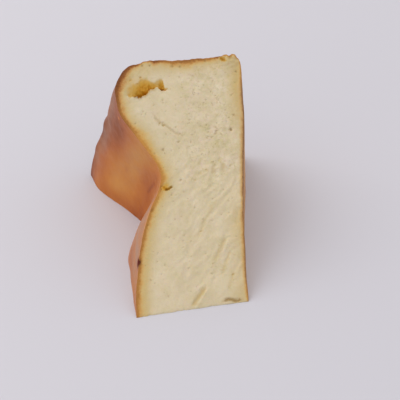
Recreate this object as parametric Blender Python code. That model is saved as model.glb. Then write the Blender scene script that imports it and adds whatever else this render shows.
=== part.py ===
"""A slice of baked cheesecake, lying on one of its two cut faces.

The slice is a wedge of a tall round cake with a rippled, browned top skin and a flat baked base.
It lies on its side: the base faces +X, the rim +Y, the skin -X, and the upper cut face climbs
from the tip edge, which lies along the ground, towards the rim.

A point of the slice has three shares, each from 0 to 1:
    along   from the tip edge out to the rim
    up      from the baked base to the top skin, in the cake's own height
    round   from the resting cut face round to the upper cut face
The shape is worked out with the base corner of the tip at the origin and then moved, so that
the origin is the middle of the underside of the slice's box.
"""

import math

import bmesh
import bpy
import numpy as np
from mathutils import Matrix, Vector, noise

NODE_NAME = "cheesecake_slice"

# The cake that the slice was cut from (metres and radians)
RIM_RADIUS = 0.112
RIM_TAPER = 0.064
WEDGE_ANGLE = math.radians(40.0)
TIP_SLANT = math.radians(9.0)

# The top skin from tip to crest: reach and height on the resting cut, then on the upper cut
SKIN_STATIONS = (
    (0.0000, 0.0474, 0.0000, 0.0474),
    (0.0080, 0.0489, 0.0080, 0.0475),
    (0.0180, 0.0503, 0.0187, 0.0467),
    (0.0300, 0.0520, 0.0285, 0.0457),
    (0.0410, 0.0535, 0.0380, 0.0438),
    (0.0510, 0.0516, 0.0473, 0.0406),
    (0.0575, 0.0479, 0.0535, 0.0378),
    (0.0620, 0.0464, 0.0588, 0.0366),
    (0.0675, 0.0498, 0.0643, 0.0378),
    (0.0750, 0.0549, 0.0720, 0.0423),
    (0.0860, 0.0631, 0.0820, 0.0492),
    (0.0980, 0.0712, 0.0920, 0.0551),
    (0.1100, 0.0762, 0.1014, 0.0570),
)
VALLEY_STATION = 7
CREST_SAG = 0.0011
CREST_SAG_SKEW = 1.5

# How far the rounded shoulder drops from the crest to the straight rim, at either cut
RESTING_SHOULDER_DROP = 0.0145
UPPER_SHOULDER_DROP = 0.0130

# The tip edge bows out towards the skin, as soft cake does under its own weight
TIP_BOW = 0.0017
TIP_BOW_REACH = 0.010
TIP_BOW_POWER = 1.5

# Waves of the baked base: reach, spread, and how far each stands out
BASE_WAVES = (
    (0.000, 0.008, 0.0007),
    (0.038, 0.018, -0.0005),
    (0.082, 0.013, 0.0007),
)
BASE_WAVE_FADE = 0.012

# The edge between base and rim is rounded, and its crust is torn up at the upper cut face
BASE_EDGE_INSET = 0.0014
BASE_EDGE_SPREAD = 0.0028
TORN_CRUST_LIFT = 0.0018
TORN_CRUST_HEIGHT = 0.0048
TORN_CRUST_SPREAD = 0.0042

# Broad, low waves that the knife left on the upper cut face
CUT_WAVE_HEIGHT = 0.0005
CUT_WAVE_LENGTH = 0.013

# The relief starts a little way out from the tip edge, and dies away below the upper cut face
TIP_FADE_REACH = 0.006
RELIEF_FALL = 6

# Mesh density
SPAN_COLUMNS = 3
SHOULDER_COLUMNS = 8
HEIGHT_ROWS = 14
ROUND_ROWS = 12
MERGE_DISTANCE = 1e-6

# Hollows in the upper cut face: reach, height, half sizes along reach and height, depth
POCKETS = {
    "main_pocket": (0.0996, 0.0462, 0.0030, 0.0034, 0.0048),
    "upper_pocket": (0.1026, 0.0428, 0.0022, 0.0030, 0.0040),
    "bridge_pocket": (0.1016, 0.0397, 0.0014, 0.0024, 0.0026),
    "inner_pocket": (0.1022, 0.0362, 0.0026, 0.0018, 0.0040),
    "fold_fissure": (0.0550, 0.0346, 0.0007, 0.0026, 0.0032),
    "tip_notch": (0.0024, 0.0064, 0.0009, 0.0034, 0.0007),
}
POCKET_CRAG_SHARE = 0.28
POCKET_CRAG_SIZE = 0.0016
POCKET_DETAIL = 3


def remove_all_objects():
    """Empty the scene before the slice is made."""
    for old_object in list(bpy.data.objects):
        bpy.data.objects.remove(old_object, do_unlink=True)


def new_collection(name):
    """Return a new collection in the scene."""
    collection = bpy.data.collections.new(name)
    bpy.context.scene.collection.children.link(collection)
    return collection


def baked_material(name, colour, roughness):
    """Return a plain Principled material."""
    material = bpy.data.materials.new(name)
    material.use_nodes = True
    shader = material.node_tree.nodes["Principled BSDF"]
    shader.inputs["Base Color"].default_value = (*colour, 1.0)
    shader.inputs["Roughness"].default_value = roughness
    shader.inputs["Metallic"].default_value = 0.0
    material.diffuse_color = (*colour, 1.0)
    return material


def tip_shift(height):
    """Return how far the tip edge leans towards -Y at a height in the cake."""
    return -height * math.tan(TIP_SLANT)


def rim_reach(height, angle):
    """Return the distance from the tip edge to the rim at a height and an angle round."""
    radius = RIM_RADIUS - RIM_TAPER * height
    shift = tip_shift(height)
    return math.sqrt(radius ** 2 - (shift * math.sin(angle)) ** 2) - shift * math.cos(angle)


def smooth_run(stations, span_columns):
    """Return points along a smooth curve through the stations, evenly spread in each span."""
    knots = np.array(stations)
    chords = np.linalg.norm(np.diff(knots, axis=0), axis=1)
    distance = np.concatenate(([0.0], np.cumsum(chords)))
    slopes = np.gradient(knots, distance, axis=0)
    points = [knots[0]]
    for span, chord in enumerate(chords):
        for step in range(1, span_columns + 1):
            share = step / span_columns
            rest = 1.0 - share
            points.append(
                knots[span] * rest * rest * (1.0 + 2.0 * share)
                + knots[span + 1] * share * share * (1.0 + 2.0 * rest)
                + chord * slopes[span] * share * rest * rest
                - chord * slopes[span + 1] * share * share * rest
            )
    return np.array(points)


def skin_run(round_share):
    """Return reach and height of the skin, from the tip over the crest and down the shoulder."""
    stations = smooth_run(SKIN_STATIONS, SPAN_COLUMNS)
    run = stations[:, :2] * (1.0 - round_share) + stations[:, 2:] * round_share
    first_rise = VALLEY_STATION * SPAN_COLUMNS
    rise = np.clip((np.arange(len(run)) - first_rise) / (len(run) - 1 - first_rise), 0.0, 1.0)
    run[:, 1] -= CREST_SAG * math.sin(math.pi * round_share ** CREST_SAG_SKEW) * rise
    crest_reach, crest_height = run[-1]
    drop = RESTING_SHOULDER_DROP * (1.0 - round_share) + UPPER_SHOULDER_DROP * round_share
    rim_top = rim_reach(crest_height - drop, round_share * WEDGE_ANGLE)
    shoulder = []
    for step in range(1, SHOULDER_COLUMNS + 1):
        turn = 0.5 * math.pi * step / SHOULDER_COLUMNS
        reach = crest_reach + (rim_top - crest_reach) * math.sin(turn)
        shoulder.append((reach, crest_height - drop * (1.0 - math.cos(turn))))
    return np.concatenate((run, np.array(shoulder)))


def base_run(skin, round_share):
    """Return the reach of the point on the base that stands under each point of the skin."""
    steps = np.linalg.norm(np.diff(skin, axis=0), axis=1)
    distance = np.concatenate(([0.0], np.cumsum(steps)))
    return distance / distance[-1] * rim_reach(0.0, round_share * WEDGE_ANGLE)


def cut_plane_point(reach, height, angle):
    """Return the point at a reach and a height on the plane through the tip edge at an angle."""
    return Vector((
        -height,
        tip_shift(height) + reach * math.cos(angle),
        reach * math.sin(angle),
    ))


def tip_bow(reach, height):
    """Return how far the soft tip edge bows out at a reach and a height."""
    rise = height / SKIN_STATIONS[0][1]
    return TIP_BOW * rise ** TIP_BOW_POWER * math.exp(-reach / TIP_BOW_REACH)


def base_wave(reach):
    """Return how far the baked base stands out at a reach."""
    return sum(
        outward * math.exp(-((reach - middle) / spread) ** 2)
        for middle, spread, outward in BASE_WAVES
    )


def base_edge_inset(reach, height, angle):
    """Return how far the rounded edge between base and rim is drawn in."""
    away = abs(rim_reach(0.0, angle) - reach) + height
    return BASE_EDGE_INSET * math.exp(-away / BASE_EDGE_SPREAD)


def torn_crust(reach, height):
    """Return how far the torn crust beside the base stands up at a reach and a height."""
    away = math.hypot(reach - RIM_RADIUS, height - TORN_CRUST_HEIGHT)
    return TORN_CRUST_LIFT * math.exp(-(away / TORN_CRUST_SPREAD) ** 2)


def cut_waves(reach, height):
    """Return the height of the low waves of the upper cut face at a reach and a height."""
    spot = Vector((reach, height, 0.0)) / CUT_WAVE_LENGTH
    return CUT_WAVE_HEIGHT * noise.noise(spot)


def slice_point(skins, bases, along, up, round_share):
    """Return the place of the point of the slice with the given shares."""
    row = round(round_share * ROUND_ROWS)
    column = round(along * (len(skins[row]) - 1))
    reach = bases[row][column] * (1.0 - up) + skins[row][column][0] * up
    height = skins[row][column][1] * up
    angle = round_share * WEDGE_ANGLE
    tip_fade = min(1.0, reach / TIP_FADE_REACH)
    inset = base_edge_inset(reach, height, angle)
    point = cut_plane_point(reach - inset, height, angle)
    point.x += base_wave(reach) * math.exp(-height / BASE_WAVE_FADE) - inset
    point.y -= tip_bow(reach, height)
    outward = Vector((0.0, -math.sin(angle), math.cos(angle)))
    relief = torn_crust(reach, height) + cut_waves(reach, height)
    point += outward * relief * tip_fade * round_share ** RELIEF_FALL
    return point


def divide_block(block, axis, parts):
    """Cut a block's edges along one axis into equal parts."""
    edges = [
        edge for edge in block.edges
        if abs((edge.verts[0].co - edge.verts[1].co).normalized()[axis]) > 0.5
    ]
    bmesh.ops.subdivide_edges(block, edges=edges, cuts=parts - 1, use_grid_fill=False)


def make_slice(collection, crumb, crust):
    """Make the wedge as a divided block drawn into the slice's shape, and return its object."""
    skins = [skin_run(row / ROUND_ROWS) for row in range(ROUND_ROWS + 1)]
    bases = [base_run(skin, row / ROUND_ROWS) for row, skin in enumerate(skins)]
    block = bmesh.new()
    bmesh.ops.create_cube(block, size=1.0, matrix=Matrix.Translation((0.5, 0.5, 0.5)))
    divide_block(block, 0, len(skins[0]) - 1)
    divide_block(block, 1, HEIGHT_ROWS)
    divide_block(block, 2, ROUND_ROWS)

    tip_faces = [face for face in block.faces if face.normal.x < -0.5]
    for face in block.faces:
        face.material_index = 0 if abs(face.normal.z) > 0.5 else 1
    bmesh.ops.delete(block, geom=tip_faces, context="FACES")
    for vertex in block.verts:
        vertex.co = slice_point(skins, bases, *vertex.co)
    bmesh.ops.remove_doubles(block, verts=block.verts, dist=MERGE_DISTANCE)

    mesh = bpy.data.meshes.new(NODE_NAME)
    block.to_mesh(mesh)
    block.free()
    mesh.materials.append(crumb)
    mesh.materials.append(crust)
    slice_object = bpy.data.objects.new(NODE_NAME, mesh)
    collection.objects.link(slice_object)
    return slice_object


def make_pocket(collection, name, reach, height, half_reach, half_height, depth):
    """Make the craggy cutter of one hollow in the upper cut face."""
    ball = bmesh.new()
    bmesh.ops.create_icosphere(ball, subdivisions=POCKET_DETAIL, radius=1.0)
    along_cut = Vector((0.0, math.cos(WEDGE_ANGLE), math.sin(WEDGE_ANGLE)))
    across_cut = Vector((-1.0, 0.0, 0.0))
    outward = along_cut.cross(across_cut)
    middle = cut_plane_point(reach, height, WEDGE_ANGLE)
    for vertex in ball.verts:
        offset = (
            along_cut * vertex.co.x * half_reach
            + across_cut * vertex.co.y * half_height
            + outward * vertex.co.z * depth
        )
        crag = noise.noise((middle + offset) / POCKET_CRAG_SIZE)
        vertex.co = middle + offset * (1.0 + POCKET_CRAG_SHARE * crag)
    mesh = bpy.data.meshes.new(name)
    ball.to_mesh(mesh)
    ball.free()
    cutter = bpy.data.objects.new(name, mesh)
    cutter.display_type = "WIRE"
    cutter.hide_render = True
    collection.objects.link(cutter)


def cut_pockets(slice_object, cutters):
    """Cut every hollow out of the slice."""
    boolean = slice_object.modifiers.new("pockets", "BOOLEAN")
    boolean.operation = "DIFFERENCE"
    boolean.operand_type = "COLLECTION"
    boolean.collection = cutters
    boolean.solver = "EXACT"


def shade(mesh):
    """Shade the slice smooth, apart from its real edges."""
    mesh.shade_smooth()
    mesh.set_sharp_from_angle(angle=math.radians(35.0))


def centre_on_ground(slice_object, cutters):
    """Move the slice and its cutters, so that the origin is the middle of the underside."""
    corners = [slice_object.matrix_world @ vertex.co for vertex in slice_object.data.vertices]
    lowest = Vector(min(corner[axis] for corner in corners) for axis in range(3))
    highest = Vector(max(corner[axis] for corner in corners) for axis in range(3))
    middle = (lowest + highest) * 0.5
    shift = Matrix.Translation((-middle.x, -middle.y, -lowest.z))
    for moved in [slice_object, *cutters.objects]:
        moved.data.transform(shift)


def main():
    """Build the slice."""
    remove_all_objects()
    cake = new_collection("cheesecake")
    cutters = new_collection("cheesecake_cutters")
    crumb = baked_material("cream_crumb", (0.62, 0.51, 0.33), 0.62)
    crust = baked_material("browned_skin", (0.43, 0.18, 0.06), 0.42)
    slice_object = make_slice(cake, crumb, crust)
    shade(slice_object.data)
    for name, sizes in POCKETS.items():
        make_pocket(cutters, name, *sizes)
    centre_on_ground(slice_object, cutters)
    cut_pockets(slice_object, cutters)


main()
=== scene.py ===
"""The looks of a slice of baked cheesecake, lying on one of its two cut faces.

Sizes are in millimetres and angles in radians, apart from the metres that Blender is given.
A place in the slice is told by three numbers:
    reach   how far it is from the tip edge, measured along a cut
    height  how high it is in the cake, above the baked base
    share   how far round it is, from 0 on the resting cut face to 1 on the upper one
"""

import logging
import math
from dataclasses import dataclass, field
from enum import Enum
from functools import reduce
from typing import ClassVar

import bpy
import numpy as np
from mathutils import Matrix, Vector, noise
from mathutils.geometry import delaunay_2d_cdt


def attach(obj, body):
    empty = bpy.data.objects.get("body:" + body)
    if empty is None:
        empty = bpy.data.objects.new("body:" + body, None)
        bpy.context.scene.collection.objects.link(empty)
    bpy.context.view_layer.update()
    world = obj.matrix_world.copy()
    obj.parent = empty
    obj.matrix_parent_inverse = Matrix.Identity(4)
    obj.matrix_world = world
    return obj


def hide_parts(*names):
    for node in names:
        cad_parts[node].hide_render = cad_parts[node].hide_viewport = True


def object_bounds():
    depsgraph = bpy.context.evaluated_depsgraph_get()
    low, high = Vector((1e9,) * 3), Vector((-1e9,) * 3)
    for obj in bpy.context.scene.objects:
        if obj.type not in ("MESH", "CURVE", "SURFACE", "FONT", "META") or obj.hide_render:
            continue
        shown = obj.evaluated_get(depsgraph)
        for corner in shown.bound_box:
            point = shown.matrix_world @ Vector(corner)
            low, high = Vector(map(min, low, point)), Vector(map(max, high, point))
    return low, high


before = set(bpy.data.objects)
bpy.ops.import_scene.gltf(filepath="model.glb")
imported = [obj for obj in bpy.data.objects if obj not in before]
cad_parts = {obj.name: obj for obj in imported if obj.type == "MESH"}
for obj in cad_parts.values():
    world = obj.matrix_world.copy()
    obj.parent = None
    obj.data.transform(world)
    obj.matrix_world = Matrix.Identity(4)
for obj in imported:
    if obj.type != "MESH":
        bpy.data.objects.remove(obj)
CAD_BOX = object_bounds()

log = logging.getLogger("cheesecake")

Array = np.ndarray
Socket = bpy.types.NodeSocket
Colour = tuple[float, float, float]
Direction = tuple[float, float, float]
Place = tuple[float, float]
# Where a rise or a fall starts and ends
Range = tuple[float, float]
# The range that a number is moved from, and the range that it is moved to
Span = tuple[float, float, float, float]
# The rows of a table, all of the same length
Rows = tuple[tuple[float, ...], ...]
# A run of colours: where each one stands, and the colour
Stops = tuple[tuple[float, Colour], ...]
# What a node's socket can be fed
Feed = Socket | float | tuple[float, ...]

METRES = 0.001
# The height of a triangle with sides of 1
TRIANGLE_HEIGHT = math.sqrt(0.75)


class Side(Enum):
    """The two cut faces, by their share of the way round."""

    RESTING = 0.0
    UPPER = 1.0


class Finish(Enum):
    """The finishes of the slice, in the order of its material slots."""

    CREAM = 0
    SKIN = 1
    BASE = 2


class Sum(Enum):
    """The sums that a material does on two numbers, by the names of the node's options."""

    PLUS = "ADD"
    TIMES = "MULTIPLY"
    OVER = "DIVIDE"
    LARGER = "MAXIMUM"


class Trait(Enum):
    """What each vertex tells the finishes about its place."""

    BROWNING = "browning"
    # How much painted sheen the skin gets
    PAINTED_SHEEN = "blush"
    RIM = "rim"
    CRUST_DEPTH = "crust_depth"
    CRUST_WIDTH = "crust_width"
    CRUST_TONE = "crust_tone"
    BASE_CRUST = "base_crust"
    GOLDEN = "golden"
    # Brown stains and burns, and the painted shade in the cavity's deep part and under its lip
    BROWN = "brown"
    WARMTH = "warmth"
    CURD = "curd"


def smoothstep(value: Array, low: float, high: float) -> Array:
    """Return a smooth rise from 0 at low to 1 at high.

    Args:
        value: The numbers to judge.
        low: Where the rise starts.
        high: Where the rise ends.

    Returns:
        One number from 0 to 1 for each value.
    """
    share = np.clip((value - low) / (high - low), 0.0, 1.0)
    return share * share * (3.0 - 2.0 * share)


def bell(offset: Array, spread: float) -> Array:
    """Return 1 where an offset is 0, falling to 0 a few spreads away."""
    return np.exp(-((offset / spread) ** 2))


def read_run(rows: Rows, value: Array) -> tuple[Array, ...]:
    """Read a table's further columns by its first one.

    Args:
        rows: The table's rows, in which the first numbers rise.
        value: The first numbers to read it at.

    Returns:
        One array for each further column, in the shape of the value.
    """
    first, *columns = np.array(rows).T
    return tuple(np.interp(value, first, column) for column in columns)


def along_line(spots: Array, line: Array) -> tuple[Array, Array, Array]:
    """Measure spots against a line of straight runs.

    Args:
        spots: Places, one to a row.
        line: The line's corners, one to a row.

    Returns:
        The distance from the line, the side of it (1 left, -1 right, seen in the first two
        numbers), and the share of the line's length at the nearest point.
    """
    runs = np.linalg.norm(np.diff(line, axis=0), axis=1)
    starts = np.concatenate(([0.0], np.cumsum(runs)))
    best = np.full(len(spots), np.inf)
    side = np.ones(len(spots))
    share = np.zeros(len(spots))
    for index, run in enumerate(runs):
        start = line[index]
        course = (line[index + 1] - start) / run
        offset = spots - start
        travel = np.clip(offset @ course, 0.0, run)
        distance = np.linalg.norm(offset - travel[:, None] * course, axis=1)
        closer = distance < best
        cross = course[0] * offset[:, 1] - course[1] * offset[:, 0]
        best = np.where(closer, distance, best)
        side = np.where(closer, np.where(cross >= 0.0, 1.0, -1.0), side)
        share = np.where(closer, (starts[index] + travel) / starts[-1], share)
    return best, side, share


@dataclass(frozen=True)
class Lumps:
    """Smooth noise: how far it swings, the size of its lumps, and a shift that picks them."""

    swing: float
    size: float
    shift: float = 0.0

    def at(self, spots: Array) -> Array:
        """Return the noise at every spot.

        Args:
            spots: Places, with two or three numbers each on the last axis.

        Returns:
            Numbers from about -swing to swing, in the shape of the spots without their last axis.
        """
        scaled = spots / self.size + self.shift
        if scaled.shape[-1] == 2:
            scaled = np.concatenate((scaled, np.zeros((*scaled.shape[:-1], 1))), axis=-1)
        levels = [noise.noise(spot) for spot in scaled.reshape(-1, 3).tolist()]
        return self.swing * np.array(levels).reshape(scaled.shape[:-1])


@dataclass(frozen=True)
class CakeShape:
    """The form of the slice, as the solid has it."""

    rim_radius: float = 112.0
    rim_taper: float = 0.064
    wedge_angle: float = math.radians(40.0)
    tip_slant: float = math.radians(9.0)
    # The top skin, tip to crest: reach and height on the resting cut, then on the upper cut
    stations: Rows = (
        (0.0, 47.4, 0.0, 47.4),
        (8.0, 48.9, 8.0, 47.5),
        (18.0, 50.3, 18.7, 46.7),
        (30.0, 52.0, 28.5, 45.7),
        (41.0, 53.5, 38.0, 43.8),
        (51.0, 51.6, 47.3, 40.6),
        (57.5, 47.9, 53.5, 37.8),
        (62.0, 46.4, 58.8, 36.6),
        (67.5, 49.8, 64.3, 37.8),
        (75.0, 54.9, 72.0, 42.3),
        (86.0, 63.1, 82.0, 49.2),
        (98.0, 71.2, 92.0, 55.1),
        (110.0, 76.2, 101.4, 57.0),
    )
    valley_station: int = 7
    crest_sag: float = 1.1
    crest_sag_skew: float = 1.5
    resting_shoulder_drop: float = 14.5
    upper_shoulder_drop: float = 13.0
    tip_bow: float = 1.7
    tip_bow_reach: float = 10.0
    tip_bow_power: float = 1.5
    # Waves of the base: reach, spread, and how far each stands out
    base_waves: Rows = (
        (0.0, 8.0, 0.7),
        (38.0, 18.0, -0.5),
        (82.0, 13.0, 0.7),
    )
    base_wave_fade: float = 12.0
    base_edge_inset: float = 1.4
    base_edge_spread: float = 2.8
    # The tip edge isn't quite straight: height, spread, and how far it is drawn in
    tip_dents: Rows = (
        (44.7, 0.8, 0.30),
        (41.7, 0.7, 0.35),
        (29.7, 0.8, 0.35),
        (27.2, 0.6, 0.35),
        (15.5, 1.2, 0.25),
    )
    tip_wave: Lumps = Lumps(0.22, 5.0, 3.3)
    tip_wave_reach: float = 2.5
    # The wave is whole between these heights of the tip edge
    tip_wave_foot: float = 3.0
    tip_wave_top: float = 44.0

    @property
    def tip_height(self) -> float:
        """Return the height of the tip edge's upper end."""
        return self.stations[0][1]

    @property
    def crest_station(self) -> float:
        """Return the station number at which the shoulder starts."""
        return float(len(self.stations) - 1)

    def tip_shift(self, height: Array) -> Array:
        """Return how far the tip edge leans towards the front at a height."""
        return -height * math.tan(self.tip_slant)

    def rim_reach(self, height: Array, share: Array) -> Array:
        """Find the rim at a height.

        Args:
            height: The height of each place.
            share: The share of the way round of each place.

        Returns:
            The reach of the rim there.
        """
        angle = share * self.wedge_angle
        radius = self.rim_radius - self.rim_taper * height
        shift = self.tip_shift(height)
        return np.sqrt(radius ** 2 - (shift * np.sin(angle)) ** 2) - shift * np.cos(angle)

    def smooth_stations(self, span_columns: int) -> Array:
        """Return the smooth curve through the skin's stations.

        Args:
            span_columns: How many points each span between two stations gets.

        Returns:
            The points, with the four numbers of a station each.
        """
        knots = np.array(self.stations)
        chords = np.linalg.norm(np.diff(knots, axis=0), axis=1)
        slopes = np.gradient(knots, np.concatenate(([0.0], np.cumsum(chords))), axis=0)
        share = (np.arange(span_columns) + 1.0)[:, None] / span_columns
        rest = 1.0 - share
        points = [knots[:1]]
        for span, chord in enumerate(chords):
            points.append(
                knots[span] * rest * rest * (1.0 + 2.0 * share)
                + knots[span + 1] * share * share * (1.0 + 2.0 * rest)
                + chord * slopes[span] * share * rest * rest
                - chord * slopes[span + 1] * share * share * rest
            )
        return np.concatenate(points)

    def skin_run(self, share: float, span_columns: int, shoulder_columns: int) -> Array:
        """Return the outline of the skin at a share of the way round.

        Args:
            share: The share of the way round.
            span_columns: How many points each span between two stations gets.
            shoulder_columns: How many points the rounded shoulder gets.

        Returns:
            Reach and height of each point, from the tip over the crest and down the shoulder.
        """
        curve = self.smooth_stations(span_columns)
        run = curve[:, :2] * (1.0 - share) + curve[:, 2:] * share
        first = self.valley_station * span_columns
        rise = np.clip((np.arange(len(run)) - first) / (len(run) - 1 - first), 0.0, 1.0)
        run[:, 1] -= self.crest_sag * math.sin(math.pi * share ** self.crest_sag_skew) * rise
        crest_reach, crest_height = run[-1]
        drop = self.resting_shoulder_drop * (1.0 - share) + self.upper_shoulder_drop * share
        rim_top = self.rim_reach(crest_height - drop, share)
        turn = 0.5 * math.pi * (np.arange(shoulder_columns) + 1.0) / shoulder_columns
        shoulder = np.stack(
            (
                crest_reach + (rim_top - crest_reach) * np.sin(turn),
                crest_height - drop * (1.0 - np.cos(turn)),
            ),
            axis=1,
        )
        return np.concatenate((run, shoulder))

    def tip_pull(self, reach: Array, height: Array) -> Array:
        """Return how far the tip edge bows and waves towards the front.

        Args:
            reach: The reach of each place.
            height: The height of each place.

        Returns:
            The distance towards the front, in millimetres.
        """
        rise = np.maximum(height, 0.0) / self.tip_height
        bow = self.tip_bow * rise ** self.tip_bow_power * np.exp(-reach / self.tip_bow_reach)
        wave = self.tip_wave.at(np.stack((height, np.zeros_like(height)), axis=-1))
        for middle, spread, pull in self.tip_dents:
            wave = wave - pull * bell(height - middle, spread)
        foot = smoothstep(height, 0.0, self.tip_wave_foot)
        ends = foot * smoothstep(height, self.tip_height, self.tip_wave_top)
        return bow + wave * ends * np.exp(-reach / self.tip_wave_reach)

    def place(self, reach: Array, height: Array, share: Array) -> Array:
        """Return where places in the slice are, before any relief.

        Args:
            reach: The reach of each place.
            height: The height of each place.
            share: The share of the way round of each place.

        Returns:
            Points with three numbers each, measured from the base corner of the tip.
        """
        angle = share * self.wedge_angle
        away = np.abs(self.rim_reach(0.0 * height, share) - reach) + np.abs(height)
        inset = self.base_edge_inset * np.exp(-away / self.base_edge_spread)
        swell = sum(
            outward * bell(reach - middle, spread) for middle, spread, outward in self.base_waves
        )
        across = reach - inset
        return np.stack(
            (
                swell * np.exp(-np.abs(height) / self.base_wave_fade) - inset - height,
                self.tip_shift(height) + across * np.cos(angle) - self.tip_pull(reach, height),
                across * np.sin(angle),
            ),
            axis=-1,
        )

    def outward(self, share: Array) -> Array:
        """Return the direction out of a cut made at a share of the way round."""
        angle = share * self.wedge_angle
        return np.stack((0.0 * angle, -np.sin(angle), np.cos(angle)), axis=-1)

    def origin(self) -> Vector:
        """Find the base corner of the tip in the frame.

        Returns:
            Its place, in millimetres.
        """
        low, high = CAD_BOX
        return Vector((
            high.x / METRES - self.base_waves[0][2],
            low.y / METRES + self.tip_height * math.tan(self.tip_slant) + self.tip_bow,
            low.z / METRES,
        ))


@dataclass(frozen=True)
class Pit:
    """A small round hollow in a cut face, or, where its depth is 0, a round mark: a stain, or a dot
    of painted shade.
    """

    reach: float
    height: float
    radius: float
    depth: float = 0.0
    golden: float = 0.0
    brown: float = 0.0
    # How many radii the finer mesh covers
    MESHED: ClassVar[float] = 1.6

    def away(self, spots: Array) -> Array:
        """Return the square of each spot's distance from the middle of the pit."""
        return ((spots - np.array((self.reach, self.height))) ** 2).sum(axis=1)

    def closeness(self, spots: Array) -> Array:
        """Return 1 at the middle of the pit, falling to 0 outside it."""
        return np.exp(-self.away(spots) / self.radius ** 2)

    def touches(self, spots: Array, margin: float) -> Array:
        """Return which spots lie in the pit or within a margin of it."""
        return self.away(spots) < (self.MESHED * self.radius + margin) ** 2


@dataclass(frozen=True)
class Tear:
    """A groove along a short line in a cut face, with a lip thrown up on one side."""

    line: tuple[Place, ...]
    width: float
    depth: float
    lip: float = 0.0
    golden: float = 0.0
    brown: float = 0.0
    # The share of its length that each end takes, and the share of its depth that is left there
    END: ClassVar[float] = 0.15
    END_DEPTH: ClassVar[float] = 0.25
    # How many widths from its line the lip stands, and how many the finer mesh covers
    LIP_AWAY: ClassVar[float] = 1.7
    MESHED: ClassVar[float] = 2.2

    def measure(self, spots: Array) -> tuple[Array, Array]:
        """Measure how deep each place is in the groove, and how high it is on its lip.

        Args:
            spots: Reach and height of each place.

        Returns:
            The share of the depth and the share of the lip's rise, from 0 to 1.
        """
        distance, side, share = along_line(spots, np.array(self.line))
        ends = smoothstep(share, 0.0, self.END) * smoothstep(share, 1.0, 1.0 - self.END)
        groove = bell(distance, self.width) * (self.END_DEPTH + (1.0 - self.END_DEPTH) * ends)
        raised = bell(distance / self.width - self.LIP_AWAY, 1.0) * (side < 0.0) * ends
        return groove, raised

    def touches(self, spots: Array, margin: float) -> Array:
        """Return which spots lie in the groove or within a margin of it."""
        distance, _, _ = along_line(spots, np.array(self.line))
        return distance < self.MESHED * self.width + margin


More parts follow.
